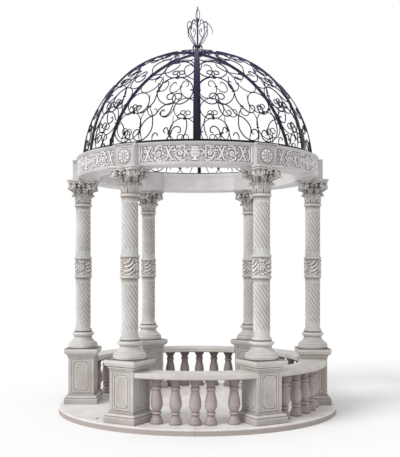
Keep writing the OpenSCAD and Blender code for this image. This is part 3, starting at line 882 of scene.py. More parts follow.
    def build(self) -> None:
        """A shaft for each column.

        The radius is the outline's, less the flutes and with the carving on it. The grid turns
        with the flutes, by the same angle for each unit of height, so every flute follows a
        column of points.
        """
        outline, stretches = self.outline()
        r, z = outline[:, 0], outline[:, 1]
        a = np.linspace(0, 2 * math.pi, self.columns, endpoint=False)
        cut, side = self.cut(a, z, stretches)
        angle = a[None] - math.radians(self.turn) / self.flute_h[0] * z[:, None]
        carved = np.zeros_like(cut)
        rows = (z > self.band[0]) & (z < self.band[1])
        carved[rows] = self.foliage(angle[rows] * self.d / 2, z[rows, None])
        radius = r[:, None] - self.depth * cut + self.carving * carved
        # Painted shade along the shaded side of each flute and painted highlights on the arrises; in the
        # carved band, painted shade on its ground and in its crevices
        tone = (0.12 + 1.05 * side) * np.sqrt(cut) - 0.3 * (1 - cut) * (cut.max(axis=1, keepdims=True) > 0)
        tone = np.where(rows[:, None], 0.25 * (1 - carved) + 1.25 * crevice(carved, 2, 4.2), tone)
        # Painted shade at both ends of the shaft and under its rings
        under = near(z, 0, 0.005) + near(z, z[-1], 0.004)
        for level in (self.band[0] - self.band_ring_h, self.band[1], z[-1] - self.foot_h):
            under = under + 0.9 * near(z, level - 0.001, 0.008)
        points = stacked(self.levels.circle_r + radius * np.cos(angle), radius * np.sin(angle),
                         self.levels.shaft_foot + z[:, None])
        Shell().grid(points, True, tone + np.clip(under, 0, 1)[:, None],
                     Closing.FANS).pieces("fluted_shaft", COLUMN_MARBLE, "shaft", 50)


@dataclass
class Capitals(Part):
    """Capitals with two rows of acanthus leaves, volutes at the corners and a hollow-sided abacus."""

    bell_r: float = 0.098
    reach: float = 0.038
    abacus_w: float = 0.372
    abacus_t: float = 0.046
    leaf_t: float = 0.008

    def leaf(self, z0: float, z1: float, base: float, reach: float, width: float) -> Shell:
        """A leaf on the side towards +X: a curled plate with lobed edges, closed all round.

        Its middle line rises along the bell and turns over at the tip. Across it, the plate lies
        round the bell and bends outwards at both edges, and the width swells and falls with
        lobes, |sin| of four and a half half waves.
        """
        h = z1 - z0
        side = spline([[base + 0.002, 0], [base + 0.006, 0.3 * h], [base + 0.35 * reach, 0.66 * h],
                       [base + 0.85 * reach, 0.92 * h], [base + 1.1 * reach, 0.95 * h],
                       [base + 1.28 * reach, 0.85 * h], [base + 1.12 * reach, 0.76 * h]], 4)
        v = np.linspace(0, 1, len(side))[:, None]
        u = np.linspace(-1, 1, 13)[None]
        lobes = 1 - 0.20 * np.abs(np.sin(v * math.pi * 4.5)) * ease(v * 4)
        swell = 0.74 + 0.40 * np.sin(math.pi * np.clip(v * 1.05, 0, 1)) - 0.50 * ease((v - 0.75) * 4)
        y = u * width / 2 * swell * lobes
        rim = ease((np.abs(u) - 0.80) / 0.12)
        x = side[:, :1] + 0.003 * near(u, 0, 0.10) + 0.004 * rim - 0.42 * y * y / self.bell_r
        front = stacked(x, y, side[:, 1:] + z0)
        slope = unit(np.gradient(side, axis=0))
        back = front + self.leaf_t * stacked(-slope[:, 1:], 0, slope[:, :1])
        # Painted light and shade on the leaf: shade along its veins, at its foot and over its back, and
        # highlights on its rims and turned-over tip
        vein = (0.5 + 0.5 * np.cos(2 * math.pi * (4.5 * v - 1.1 * np.abs(u)))) ** 2
        leaf_shade_and_highlight = (0.15 + 0.55 * vein) * (1 - rim) - 0.4 * rim
        leaf_shade_and_highlight = leaf_shade_and_highlight + 0.45 * near(v, 0, 0.08) - 0.5 * ease((v - 0.66) * 6)
        return Shell().grid(np.concatenate([front, back[:, ::-1]], axis=1), True,
                            np.concatenate([leaf_shade_and_highlight, 0 * y + 0.8], axis=1), Closing.FANS)

    @staticmethod
    def spiral(r: float, hand: int, depth: float) -> Shell:
        """A volute as a round plate towards +X, with a wound bar and an eye in relief."""
        q = disc(r, 23)
        eye = np.array([[0, 0], [0, 1e-4]])
        high = Relief(q).bead(volute((0, 0), 0.88 * r, 1.25, 90, hand, 90), 0.15 * r, 1.0)
        high = high.bead(eye, 0.30 * r, 1.0).height
        # Painted shade on the plate's ground and a painted highlight on the raised bar and eye
        return Shell().plate(stacked(0.22 * r * high, q[..., 0], q[..., 1]), -depth, 1 - 1.6 * high)

    @staticmethod
    def stalk(hand: int, bell_h: float, foot: float) -> Shell:
        """A stem that leaves the bell and bends outwards to a corner volute."""
        path = spline([[foot, 0.014 * hand, 0.34 * bell_h], [foot + 0.012, 0.034 * hand, 0.56 * bell_h],
                       [foot + 0.034, 0.066 * hand, bell_h - 0.088],
                       [foot + 0.060, 0.104 * hand, bell_h - 0.078],
                       [foot + 0.068, 0.132 * hand, bell_h - 0.060]], 5)
        return Shell().bar(path, (1.0, 0.0, 0.2), np.linspace(0.010, 0.016, len(path)), 0.014)

    def abacus(self, out: Shell, z: float) -> None:
        """The hollow-sided slab with a groove round it and a flower on each side.

        Each side is a shallow parabola, and the corners between the sides are cut.
        """
        w, t = self.abacus_w / 2, self.abacus_t
        side = np.linspace(-0.80, 0.80, 25) * w * 1.06
        hollow = w - 0.07 * 2 * w * (1 - (side / (0.80 * 1.06 * w)) ** 2)
        outline = np.concatenate([turned(stacked(hollow, side, 0), k * math.pi / 2) for k in range(4)])[:, :2]
        steps = [[0.94, 0.0], [0.94, 0.36], [0.97, 0.42], [0.955, 0.50], [1.0, 0.58], [1.0, 1.0]]
        rows = softened(steps, 0.02)
        share, v = rows[:, :1], rows[:, 1:]
        # Painted shade in the groove round the slab and a painted highlight on its upper band and top
        out.grid(stacked(outline[:, 0] * share, outline[:, 1] * share, z + v * t), True,
                 0.7 * near(v, 0.47, 0.08) - 0.3 * (v > 0.6), Closing.FANS)
        q = disc(0.034, 21)
        high = Relief(q).petals((0, 0), 0.034, 6, 0.014).height
        face = stacked(w * 0.86 + 0.004 + high, q[..., 0], z + t * 0.20 + q[..., 1])
        # Painted shade round the flower and painted highlights on its petals
        flower = Shell().plate(face, w * 0.80, 0.8 - 90 * high)
        for k in range(4):
            out.join(flower, k * math.pi / 2)

    def build(self) -> None:
        """A capital for each column: bell, leaves, posts, volutes, stems and abacus."""
        bell_h = self.levels.capital_top - self.levels.shaft_top - self.abacus_t
        out = Shell()
        bell = np.concatenate([[[self.bell_r - 0.004, 0.0]],
                               arc(self.bell_r + self.reach, 0.0, self.reach, bell_h - 0.012, 180, 100, 14),
                               [[self.bell_r + self.reach, bell_h]]])
        # The bell is painted in full shade, where it lies behind the leaves
        out.lathe(bell, 48, tone=DEEPEST)
        low = self.leaf(0.002, 0.47 * bell_h, self.bell_r, self.reach * 0.8, 0.078)
        high = self.leaf(0.16 * bell_h, 0.78 * bell_h, self.bell_r + 0.004, self.reach, 0.068)
        for k in range(8):
            out.join(low, k * math.pi / 4).join(high, (k + 0.5) * math.pi / 4)
        # The posts get a painted shade of 0.35
        post = Shell().lathe(np.array([[0.020, bell_h - 0.076], [0.032, bell_h - 0.068],
                                       [0.034, bell_h - 0.004], [0.02, bell_h]]), 20, tone=0.35)
        for turn in np.arange(4) * math.pi / 2:
            out.join(post, turn + math.pi / 4, (0.172, 0, 0))
            for hand in (-1, 1):
                out.join(self.spiral(0.039, hand, 0.034), turn,
                         (self.abacus_w / 2 - 0.018, 0.102 * hand, bell_h - 0.040))
                out.join(self.spiral(0.021, -hand, 0.020), turn, (0.150, 0.028 * hand, bell_h - 0.034))
                out.join(self.stalk(hand, bell_h, self.bell_r + 0.010), turn)
        self.abacus(out, bell_h)
        Shell().join(out, 0.0, (self.levels.circle_r, 0, self.levels.shaft_top)).pieces(
            "leaf_capital", COLUMN_MARBLE, "capital", 50)


@dataclass
class Frieze(Part):
    """The ring over the columns: six curved carved stones, and six blocks with a rosette each."""

    height: float = 0.255
    inner_r: float = 1.280
    outer_r: float = 1.550
    lip_h: float = 0.030
    lip_out: float = 0.015
    sink: float = 0.012
    carving: float = 0.0115
    border: float = 0.036
    block_w: float = 0.280
    block_r: float = 1.612
    rosette_d: float = 0.165
    rosette_out: float = 0.022
    frame_sink: float = 0.007

    def scrollwork(self, s: Array, z: Array) -> Array:
        """Height of the carving from 0 to 1, mirrored about the middle of the bay.

        An urn with two handles stands in the middle, under a spray of leaves. On both sides
        follow a swirl round a flower, a crossing of two leaves, another swirl, another crossing
        and a last leaf, with buds along both edges and small leaflets over the ground.

        Args:
            s: Length along the stone from its middle.
            z: Height above the carving's lower edge.
        """
        tall = self.height - self.lip_h - 0.010 - self.border - 0.004
        size = np.array([1.0, tall])
        carving = Relief(stacked(np.abs(s), z))
        leaves = (([(0.100, 0.86), (0.130, 0.96), (0.175, 0.93), (0.215, 0.78)], 0.016, 4),
                  ([(0.095, 0.10), (0.135, 0.03), (0.180, 0.10), (0.205, 0.24)], 0.014, 4),
                  ([(0.118, 0.30), (0.108, 0.50), (0.124, 0.70)], 0.012, 3),
                  ([(0.226, 0.20), (0.250, 0.10), (0.292, 0.42), (0.330, 0.90), (0.356, 0.82)], 0.014, 7),
                  ([(0.228, 0.82), (0.256, 0.92), (0.296, 0.56), (0.326, 0.10), (0.352, 0.16)], 0.012, 7),
                  ([(0.355, 0.90), (0.395, 0.98), (0.440, 0.90), (0.470, 0.72)], 0.014, 4),
                  ([(0.358, 0.10), (0.400, 0.02), (0.445, 0.10), (0.472, 0.30)], 0.014, 4),
                  ([(0.482, 0.18), (0.506, 0.08), (0.544, 0.44), (0.580, 0.92), (0.604, 0.84)], 0.012, 7),
                  ([(0.484, 0.84), (0.510, 0.94), (0.546, 0.54), (0.576, 0.08), (0.602, 0.14)], 0.014, 7),
                  ([(0.622, 0.10), (0.632, 0.40), (0.622, 0.70), (0.632, 0.92)], 0.014, 5))
        for stops, width, lobes in leaves:
            carving.frond(spline(np.array(stops) * size, 12), width, lobes, 0.85)
        for cx, r, hand, start in ((0.172, 0.058, 1, 250), (0.420, 0.056, -1, 110)):
            centre = (cx, 0.5) * size
            carving.bead(volute(centre, r, 1.35, start, hand), 0.0075, 0.9).petals(centre, 0.026, 6, 1.0)
            for angle in range(20, 380, 60):
                a = math.radians(angle)
                foot = centre + 0.050 * np.array([math.cos(a), math.sin(a)])
                carving.leaflet(foot, 0.032, 0.012, angle + 50 * hand, 0.75)
        for bx, bz, r in ((0.095, 0.90, 0.010), (0.292, 0.90, 0.013), (0.292, 0.10, 0.012),
                          (0.292, 0.50, 0.012), (0.543, 0.90, 0.013), (0.543, 0.10, 0.012),
                          (0.543, 0.50, 0.013), (0.232, 0.50, 0.012), (0.480, 0.50, 0.012),
                          (0.355, 0.50, 0.011), (0.598, 0.50, 0.011)):
            carving.petals((bx, bz * tall), r, 5, 1.0)
        for i in range(34):
            foot = (0.112 + 0.0160 * i, (0.5 + 0.40 * math.sin(2.4 * i)) * tall)
            carving.leaflet(foot, 0.030, 0.010, GOLDEN * i, 0.55)
        v = z / tall
        stops = [0.03, 0.05, 0.10, 0.14, 0.20, 0.30, 0.44, 0.56, 0.62, 0.66, 0.70, 0.72, 0.73]
        widths = [0.0, 0.044, 0.038, 0.016, 0.020, 0.050, 0.062, 0.056, 0.042, 0.046, 0.058, 0.058, 0.0]
        urn = np.interp(v, stops, widths)
        body = half_round(s / np.maximum(urn, 1e-6)) * (v > 0.03) * (v < 0.73)
        flutes = 1 - 0.25 * np.abs(np.sin(s / 0.0095)) * (v > 0.16) * (v < 0.42)
        carving.up_to(body * flutes * (1 - 0.45 * near(v, 0.60, 0.02) - 0.4 * near(v, 0.45, 0.015)))
        handle = [(0.050, 0.66), (0.072, 0.74), (0.092, 0.66), (0.090, 0.46), (0.074, 0.36), (0.066, 0.44),
                  (0.074, 0.50)]
        carving.bead(spline(handle * size, 10), 0.0065, 0.85)
        for angle, length, width in ((90, 0.040, 0.012), (66, 0.044, 0.012), (42, 0.050, 0.012),
                                     (20, 0.050, 0.011)):
            carving.leaflet((0.004, 0.72 * tall), length, width, angle, 0.9)
        return carving.height

    def stone(self) -> Shell:
        """One curved stone of the first bay: a section round the ring, carved outside."""
        h, r0, r1, lip, soft = self.height, self.inner_r, self.outer_r, self.lip_h, 0.003
        low, high = self.border + 0.004, h - lip - 0.010
        panel = stacked(r1 - self.sink, np.linspace(low, high, 60))
        outer = softened([[r1, 0.0], [r1, self.border], [r1 - self.sink, low]], soft)[1:-1]
        top = softened([[r1 - self.sink, high], [r1, h - lip - 0.006], [r1, h - lip],
                        [r1 + self.lip_out, h - lip / 2], [r1 + self.lip_out, h], [r0 + 0.1, h]], soft)[1:-1]
        rest = softened([[r0 + 0.1, h], [r0, h], [r0, h - 0.045], [r0 + 0.006, h - 0.052],
                         [r0 + 0.006, 0.052], [r0, 0.045], [r0, 0.0], [r0 + 0.05, 0.0]], soft)
        section = np.concatenate([outer, panel, top, rest, [[r1 - 0.05, 0.0], [r1 - 0.002, 0.0]]])
        carved = slice(len(outer), len(outer) + len(panel))
        r, z = section[None, :, 0], section[None, :, 1]
        angle, inset = across_bay(r, np.linspace(0, 1, 300)[:, None], self.block_w)
        inset = (inset * r1 - 0.026)[:, carved]
        margin, line = ease(inset / 0.004), near(inset, 0, 0.0035)
        relief = self.scrollwork((angle[:, carved] - BAY / 2) * r1, z[:, carved] - low)
        relief = np.maximum(relief * margin, 1 - margin)
        lift, tone = np.zeros_like(angle), np.zeros_like(angle)
        lift[:, carved] = relief - 0.45 * line
        # Painted shade on the carving's ground, in its crevices and in the line round it, with painted
        # highlights on its raised tops
        tone[:, carved] = np.clip(0.26 * (1 - relief) + 1.25 * crevice(relief, 2, 4.2) + 0.5 * line,
                                  PALEST, DEEPEST)
        tone += 0.20 * (r > r1 - 0.004) * (z < h - 0.002) - 0.22 * (r < r0 + 0.02)
        points = swept(stacked(r + self.carving * lift, z), angle, self.levels.capital_top)
        return Shell().grid(points, True, tone, Closing.FANS, flip=True)

    def block(self) -> Shell:
        """The block over the first column: a raised frame and a rosette of eight petals."""
        w, h, q = self.block_w / 2, self.height, self.rosette_d / 2
        y, z = np.meshgrid(np.linspace(-w, w, 81), np.linspace(0, h, 75))
        mid = (h - self.lip_h) / 2
        frame_gap = np.maximum(np.abs(y) - (w - 0.018), np.abs(z - mid) - (mid - 0.016))
        sunk = ease(-frame_gap / 0.004) * (z < h - self.lip_h)
        between = turned(stacked(y, z - mid, 0), math.pi / 8)[..., :2]
        tips = Relief(between).petals((0, 0), q, 8, 0.45).height
        flower = Relief(stacked(y, z - mid), tips).petals((0, 0), 0.94 * q, 8, 0.85)
        flower = flower.petals((0, 0), 0.52 * q, 6, 1.0).height
        edge = np.minimum(w - np.abs(y), np.minimum(z, h - z))
        x = self.block_r - self.frame_sink * sunk + self.rosette_out * flower
        x = x - 0.003 * (1 - ease(edge / 0.004))
        # A darker tone of 0.26 over the block, with painted shade in the crevices of the rosette and the
        # frame and painted highlights on their raised edges
        tone = 0.26 + 0.04 * sunk + 1.5 * crevice(flower, 3, 5.0) + crevice(sunk, 2, 1.5)
        out = Shell().plate(stacked(x, y, self.levels.capital_top + z), self.inner_r - 0.008, tone)
        side = w + self.lip_out
        path = stacked(self.block_r - 0.0145, np.linspace(-side, side, 9),
                       self.levels.frieze_top - self.lip_h / 2)
        return out.bar(path, (1.0, 0.0, 0.0), self.lip_h, 0.029, 0.12)

    def build(self) -> None:
        """A piece for each curved stone, and one for all blocks."""
        self.stone().pieces("frieze_stone", FRIEZE_MARBLE, "frieze", 50)
        self.block().copies(ALL_ROUND).piece("rosette_blocks", FRIEZE_MARBLE, "frieze_blocks", 50)


class Side(Enum):
    """The five bays that carry a bench, by their number from the first bay on."""

    RIGHT_BACK = 0
    BACK = 1
    LEFT_BACK = 2
    FRONT = 4
    RIGHT_FRONT = 5

    @property
    def label(self) -> str:
        """The bay's name as the CAD nodes have it."""
        return self.name.lower()

    @property
    def bay_tone_and_painted_shade(self) -> float:
        """The tone of the bay's balusters: painted shade of 0.42 for the back bays, whose balusters are seen
        on their shaded sides, and a little paler below 0 for the right front bay.
        """
        return {Side.FRONT: 0.0, Side.RIGHT_FRONT: -0.04}.get(self, 0.42)


@dataclass
class Balustrade(Part):
    """Curved bench rails on turned balusters, in five of the six bays."""

    rail_w: float = 0.334
    rail_in: float = 0.007
    die_w: float = 0.330
    count: int = 5
    pitch: float = 8.4
    foot_d: float = 0.144
    stray: tuple[Side, int, float] = (Side.FRONT, 4, 0.045)

    def rail(self) -> Shell:
        """The first bay's rail: a rounded section round the ring, cut along both dies."""
        r1, t = self.levels.circle_r + self.rail_w / 2 - self.rail_in, self.levels.rail_t
        r0, n = r1 - self.rail_w, 0.16 * t
        section = np.concatenate([softened([[r0 + 0.1, 0.0], [r0 + 0.012, 0.0], [r0, 0.012]], 0.004),
                                  arc(r0 + n, t - n, n, n, 180, 90, 8), [[r0 + 0.1, t], [r1 - 0.1, t]],
                                  arc(r1 - n, t - n, n, n, 90, 0, 8),
                                  softened([[r1, 0.012], [r1 - 0.012, 0.0], [r1 - 0.1, 0.0]], 0.004)])[::-1]
        angle = across_bay(section[None, :, 0], np.linspace(0, 1, 60)[:, None], self.die_w)[0]
        z = section[None, :, 1]
        # Painted shade on the rail's underside and a painted highlight on its top
        tone = 0.9 * ease((0.014 - z) / 0.008) - 0.14 * ease((z - 0.86 * t) / (0.10 * t))
        return Shell().grid(swept(section[None], angle, self.levels.rail_top - t), True, tone, Closing.FANS,
                            flip=True)

    def baluster(self, bay_tone_and_painted_shade: float) -> Shell:
        """A turned baluster at the first column: foot, scotia, ring, belly, ring and flared head."""
        shares = np.array([
            [0.98, 0], [1.00, 0.02], [1.00, 0.06], [0.97, 0.075], [0.90, 0.085], [0.88, 0.105], [0.72, 0.15],
            [0.60, 0.185], [0.58, 0.20], [0.60, 0.212], [0.75, 0.220], [0.78, 0.240], [0.75, 0.262],
            [0.60, 0.27], [0.60, 0.285], [0.72, 0.315], [0.85, 0.355], [0.94, 0.40], [0.965, 0.44],
            [0.94, 0.50], [0.86, 0.57], [0.75, 0.64], [0.67, 0.69], [0.635, 0.73], [0.635, 0.752],
            [0.75, 0.762], [0.775, 0.785], [0.75, 0.81], [0.62, 0.82], [0.63, 0.85], [0.70, 0.885],
            [0.84, 0.92], [0.95, 0.94], [0.97, 0.955], [0.97, 1.0]])
        height = self.levels.rail_top - self.levels.rail_t - self.levels.floor_t
        profile = fine(softened(shares * (self.foot_d / 2, height), 0.004, 2), 0.008)
        v = profile[:, 1:] / height
        # Painted shade: the bay's own tone, shade in the profile's hollows, under the rail and at the foot,
        # with painted highlights on the outer edges
        tone = bay_tone_and_painted_shade + hollows(profile, 0.009, 420.0, 0.10)
        tone = tone + 0.75 * near(v, 1, 0.14) + 0.7 * near(v, 0, 0.02)
        return Shell().lathe(profile + (0, self.levels.floor_t), 36, self.levels.circle_r, tone)

    def angles(self, side: Side) -> list[float]:
        """Where the balusters of a bay stand, as angles. One stands a little out of its place."""
        k = np.arange(1, self.count + 1)
        angles = BAY * (side.value + 0.5) + np.radians((k - (self.count + 1) / 2) * self.pitch)
        if side is self.stray[0]:
            angles[self.stray[1] - 1] -= math.asin(self.stray[2] / self.levels.circle_r)
        return angles.tolist()

    def build(self) -> None:
        """One piece for each rail and one for each row of balusters."""
        rail = self.rail()
        for side in Side:
            bench = rail.copies([side.value * BAY])
            bench.piece(f"bench_{side.label}", BENCH_MARBLE, f"rail_{side.label}")
            row = self.baluster(side.bay_tone_and_painted_shade).copies(self.angles(side))
            row.piece(f"turned_{side.label}", BALUSTER_MARBLE, f"balusters_{side.label}")


# Ironwork


@dataclass
class Dome(Part):
    """The wrought iron dome: a ring, six ribs, six panels of scrolls, and a crown with its finial."""

    ring_r: float = 1.500
    share: float = 0.923
    ring_w: float = 0.040
    rib_w: float = 0.050
    rib_t: float = 0.020
    bar_t: float = 0.012
    boss_r: float = 0.062
    drawn_low: float = 4.6

    def __post_init__(self) -> None:
        """The sphere through the ring and the crown: radius = (b squared + h squared) / 2 h."""
        self.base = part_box("dome_ring")[1][2]
        b = self.ring_r - self.ring_w / 2 + self.rib_t / 2
        rise = self.share * b
        self.radius = (b * b + rise ** 2) / (2 * rise)
        self.middle = self.base + rise - self.radius
        self.bar_r = self.radius - self.rib_t / 2 - 0.002
        self.low = math.degrees(math.asin((self.base - self.middle) / self.bar_r))

    def place(self, line: Array) -> tuple[Array, Array]:
        """Puts a line of (angle from the panel's middle, elevation) in degrees on the sphere.

        The elevation is stretched so that drawn_low comes to the ring's own.

        Returns:
            The points, and the directions out of the sphere there.
        """
        e = self.low + (line[:, 1] - self.drawn_low) * (90 - self.low) / (90 - self.drawn_low)
        a, e = np.radians(line[:, 0]), np.radians(e)
        out = stacked(np.cos(e) * np.cos(a), np.cos(e) * np.sin(a), np.sin(e))
        return out * self.bar_r + (0, 0, self.middle), out

    @staticmethod
    def round_scroll(a: float, e: float, r: float) -> Array:
        """A C scroll as (angle, elevation): an open round whose ends curl up inside its foot.

        It is a chain of arcs, mirrored about its middle: a wide arc, and arcs of falling radius
        that each start in the last one's direction.
        """
        curl, foot, opening, bend = 0.38, 0.24, -62.0, 168.0

        def ray(degrees: Array | float) -> Array:
            """Directions at angles in degrees."""
            return stacked(np.cos(np.radians(degrees)), np.sin(np.radians(degrees)))

        hub = (1 - curl) * ray(opening)
        eye = hub + (curl - foot) * ray(opening - bend)
        half = np.concatenate([ray(np.linspace(90, opening, 16)),
                               hub + curl * ray(opening - np.linspace(0, bend, 12)[1:]),
                               eye + foot * np.linspace(1, 0.55, 15)[:, None]
                               * ray(opening - bend - np.linspace(0, 300, 16)[1:])])
        flat = np.concatenate([half[:0:-1] * (-1, 1), half])
        return (a, e) + flat * (r / math.cos(math.radians(e)), r)

    def lines(self) -> list[Array]:
        """All scrolls of half a panel, each a line of (angle, elevation) in degrees."""
        drawn = [
            [(7.7, 20.7), (9.8, 16.4), (10.4, 11.2), (9.3, 8), (6.8, 5.6), (3.7, 4.9), (1.5, 6), (0.8, 8),
             (1.9, 9.8), (3.6, 9.8), (4.2, 8.4), (3.2, 7.6)],
            [(19.6, 22), (15.9, 21), (13.2, 19.1), (11.2, 16.4), (8.2, 15.2), (5.8, 13), (4.5, 9.8),
             (5.8, 4.6)],
            [(17, 4.6), (19, 6.7), (19.6, 8.6), (20.7, 10), (22.1, 10.3), (23.4, 9.4), (23.3, 7.8),
             (22, 7.4)],
            [(20.4, 4.6), (18.9, 6.3), (18, 8.2), (17.5, 9.8), (16.3, 9.6), (15.9, 8.3), (16.7, 7.5)],
            [(10.6, 4.6), (10.7, 6.6), (11.8, 7.8), (13, 7.3), (13.1, 6.2)],
            [(19.6, 22), (19, 19.4), (18.2, 17.2), (16.7, 15.5), (14.8, 15.4), (13.5, 16.6), (14.4, 18.2),
             (15.5, 17.6)],
            [(24.5, 4.6), (25.8, 8), (26.2, 11.5), (25.4, 14.6), (23.4, 16.2), (21.8, 15), (22.3, 13.7)],
            [(11.4, 38), (12, 33.1), (10.6, 28.5), (9.7, 23.4), (7.7, 20.7), (5, 18.2), (2.7, 18),
             (0.9, 19.6), (1.3, 21.4), (3, 21.6), (3.6, 20.4)],
            [(14, 49), (11.2, 44.5), (10.4, 41.3), (8.4, 38), (5.4, 36.4), (2.5, 37.2), (1.6, 39.4), (3, 41),
             (4.6, 40.2)],
            [(29, 52.5), (25.5, 50), (21, 49.4), (17, 50.6), (13.5, 53.5), (12, 57.5), (13.5, 61),
             (17.5, 61.5), (19.5, 58.8), (17.3, 57.4)],
            [(12.2, 56.5), (9, 53.5), (5, 52.5), (2, 54.5), (1.8, 58), (4.5, 60), (7, 58.4)],
            [(29, 60.5), (25, 62.8), (19, 64.5), (13, 66.4), (8, 70), (7, 74), (14, 76), (20, 74.4)],
            [(29, 68.5), (25, 73), (20, 77.5), (11, 80), (0, 81)]]
        return [self.round_scroll(19.6, 28.5, 8.1), self.round_scroll(20.0, 42.6, 6.65),
                *(spline(line, 6) for line in drawn)]

    def panel(self) -> Shell:
        """One panel of scrolls, mirrored about its middle, with collars where scrolls meet."""
        out = Shell()
        for line in self.lines():
            k = np.arange(len(line))
            thick = self.bar_t * np.minimum(1, 0.55 + 0.45 * np.minimum(k, k[::-1]) / 5)
            for hand in (-1, 1):
                out.bar(*self.place(line * (hand, 1)), thick, thick)
        for a, e in ((7.7, 20.7), (19.8, 36), (10.6, 28.5), (19.6, 21.8), (18.4, 7.4), (28.2, 28.5),
                     (20.4, 49.3), (12.2, 57)):
            reach = np.array([[-0.75, 0.0], [0.75, 0.0]]) / math.cos(math.radians(e))
            for hand in (-1, 1):
                out.bar(*self.place((a * hand, e) + reach), 0.017, 0.016, 0.3)
        return out

    def rib(self) -> Shell:
        """A rib at the first panel's side: a flat bar on the sphere from the ring to the boss."""
        r = self.radius - self.rib_t / 2
        low = math.asin((self.base - self.middle) / r)
        high = math.pi / 2 - math.asin((self.boss_r - 0.004) / r)
        e = np.linspace(low, high, 60)
        out = turned(stacked(np.cos(e), 0, np.sin(e)), BAY / 2)
        return Shell().bar(out * r + (0, 0, self.middle), out, self.rib_w, self.rib_t, 0.16)

    def ring(self) -> Shell:
        """The ring on the frieze: a rectangle with eased edges turned about the middle."""
        r0, r1, h = self.ring_r - self.ring_w, self.ring_r, self.base - self.levels.frieze_top
        outline = [[r0 + 0.01, 0.0], [r1, 0.0], [r1, h], [r0, h], [r0, 0.0], [r0 + 0.009, 0.0]]
        section = softened(outline, 0.003)
        points = swept(section[None], np.linspace(0, 2 * math.pi, 241)[:-1, None], self.levels.frieze_top)
        return Shell().grid(np.concatenate([points, points[:1]]), True, flip=True)

    def crown(self) -> Shell:
        """The boss where the ribs meet, a small cone on it and the finial's scrolls round a stem."""
        top = self.middle + self.radius
        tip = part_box("finial")[1][2] - top - 0.004
        boss = softened([[0.02, -0.048], [self.boss_r, -0.040], [self.boss_r, 0.004], [0.036, 0.012],
                         [0.026, 0.040], [0.014, 0.060], [0.011, 0.070], [0.0105, 0.300], [0.010, 0.42],
                         [0.016, 0.430], [0.018, 0.445], [0.012, 0.458], [0.003, 0.470]], 0.004)
        out = Shell().lathe(boss + (0, top), 24)
        plan = (
            ([[0.008, 0.080], [0.040, 0.160], [0.078, 0.235], [0.090, 0.300], [0.086, 0.370], [0.068, 0.425],
              [0.046, 0.440], [0.034, 0.415], [0.040, 0.385]], 4, 0.0, 0.010),
            ([[0.066, 0.200], [0.036, 0.235], [0.024, 0.280], [0.036, 0.320], [0.054, 0.305], [0.050, 0.280],
              [0.040, 0.285]], 4, 0.0, 0.009),
            ([[0.006, 0.060], [0.060, 0.120], [0.120, 0.190], [0.165, 0.255], [0.185, 0.320], [0.165, 0.375],
              [0.130, 0.385], [0.112, 0.355], [0.130, 0.335]], 4, 45.0, 0.009),
            ([[0.010, 0.012], [0.050, 0.020], [0.070, 0.055], [0.060, 0.090], [0.036, 0.092], [0.030, 0.070],
              [0.044, 0.064]], 6, 30.0, 0.010),
            ([[0.004, 0.400], [0.020, 0.440], [0.030, 0.490], [0.022, 0.545], [0.004, 0.585], [-0.012, tip]],
             3, 20.0, 0.008),
            ([[0.006, 0.340], [0.050, 0.395], [0.110, 0.410], [0.165, 0.370], [0.196, 0.310], [0.200, 0.255]],
             3, 10.0, 0.008))
        for stops, count, first, size in plan:
            line = spline(stops, 6)
            thick = size * np.minimum(1, 0.5 + 0.5 * np.arange(len(line))[::-1] / 6)
            arm = Shell().bar(stacked(line[:, 0], 0, top + line[:, 1]), (0.0, 1.0, 0.0), thick, thick)
            for k in range(count):
                out.join(arm, math.radians(first) + 2 * math.pi * k / count)
        return out

    def build(self) -> None:
        """The ring, the ribs, a piece for each panel, and the crown."""
        self.ring().piece("iron_ring", WROUGHT_IRON, "dome_ring")
        self.rib().copies(ALL_ROUND).piece("iron_ribs", WROUGHT_IRON, "dome_ribs")
        self.panel().pieces("iron_scrolls", WROUGHT_IRON, "scrolls", 60)
        self.crown().piece("iron_crown", WROUGHT_IRON, "finial", 60)


# Floor slabs, and the setting


@dataclass
class Slabs:
    """The six slabs keep their CAD solid, with its joints, and get the floor's marble."""

    def build(self) -> None:
        """Dresses the CAD node."""
        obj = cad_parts["floor_slabs"]
        for slot in obj.material_slots:
            slot.material = FLOOR_MARBLE.material()
        log.info("floor_slabs: %d faces", len(obj.data.polygons))


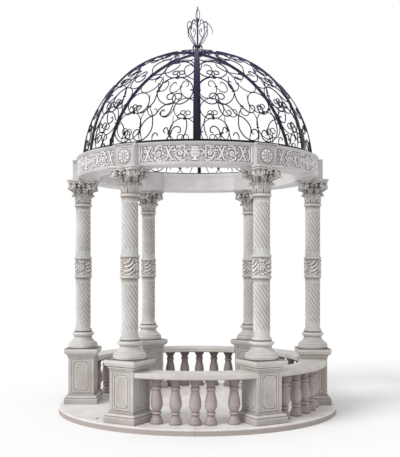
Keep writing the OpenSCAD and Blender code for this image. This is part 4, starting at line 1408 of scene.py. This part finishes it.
@dataclass
class Setting:
    """Pale ground, plain soft light and the camera of the photograph."""

    distance: float = 10.0
    azimuth: float = 1.0
    eye: float = 1.77
    focal_px: float = 765.0
    axis_px: Point = (197.6, 271.8)
    sensor: float = 36.0
    ambient: float = 0.68
    sun: float = 1.95
    sun_angle: float = 30.0
    sun_from: Point = (52.0, -52.0)
    ground_half: float = 60.0
    ground_tone: float = 0.95

    @staticmethod
    def linked(name: str, data: bpy.types.ID) -> bpy.types.Object:
        """A new object in the scene."""
        obj = bpy.data.objects.new(name, data)
        bpy.context.scene.collection.objects.link(obj)
        return obj

    def ground(self) -> None:
        """A wide pale plane below the floor."""
        mesh = bpy.data.meshes.new("ground")
        s = self.ground_half
        mesh.from_pydata([(-s, -s, 0), (s, -s, 0), (s, s, 0), (-s, s, 0)], [], [(0, 1, 2, 3)])
        mat = bpy.data.materials.new("ground")
        mat.use_nodes = True
        shader = mat.node_tree.nodes["Principled BSDF"]
        shader.inputs["Base Color"].default_value = (*[self.ground_tone] * 3, 1.0)
        shader.inputs["Roughness"].default_value = 1.0
        mesh.materials.append(mat)
        self.linked("ground", mesh)

    def light(self) -> None:
        """A white background for camera, glossy and transmission rays, an even sky, and a wide soft sun."""
        world = bpy.data.worlds.new("sky")
        bpy.context.scene.world = world
        world.use_nodes = True
        nodes = Nodes(world.node_tree)
        sky = nodes.tree.nodes["Background"]
        sky.inputs["Color"].default_value = (1.0, 1.0, 1.0, 1.0)
        seen = nodes.add("LightPath", {}, "Is Camera Ray")
        for name in ("Is Glossy Ray", "Is Transmission Ray"):
            seen = nodes.add("Math", {0: seen, 1: nodes.add("LightPath", {}, name)}, operation="MAXIMUM")
        nodes.put(nodes.ramp(seen, 0.0, 1.0, self.ambient, 1.0), sky.inputs["Strength"])
        lamp = bpy.data.lights.new("sun", "SUN")
        lamp.energy = self.sun
        lamp.angle = math.radians(self.sun_angle)
        tilt, turn = np.radians(self.sun_from)
        self.linked("sun", lamp).rotation_euler = (tilt, 0.0, turn)

    def camera(self) -> None:
        """A level camera whose shift puts the axis and the horizon where the photograph has them."""
        width, height = PHOTO_SIZE
        longer = max(width, height)
        data = bpy.data.cameras.new("camera")
        data.sensor_fit = "AUTO"
        data.sensor_width = self.sensor
        data.lens = self.focal_px * self.sensor / longer
        data.shift_x = (width / 2 - self.axis_px[0]) / longer
        data.shift_y = (self.axis_px[1] - height / 2) / longer
        obj = self.linked("camera", data)
        a = math.radians(self.azimuth)
        obj.location = (self.distance * math.sin(a), -self.distance * math.cos(a), self.eye)
        obj.rotation_euler = (math.pi / 2, 0.0, a)
        bpy.context.scene.camera = obj

    def build(self) -> None:
        """All of the setting."""
        bpy.context.scene.view_settings.view_transform = "Standard"
        self.ground()
        self.light()
        self.camera()


def main() -> None:
    """Builds the gazebo from the ground up."""
    logging.basicConfig(level=logging.INFO, format="%(name)s %(message)s")
    levels = Levels()
    for part in (Setting(), Slabs(), Pedestals(levels), ColumnBases(levels), Shafts(levels), Capitals(levels),
                 Frieze(levels), Balustrade(levels), Dome(levels)):
        log.info("building %s", type(part).__name__)
        part.build()


if __name__ == "__main__":
    main()
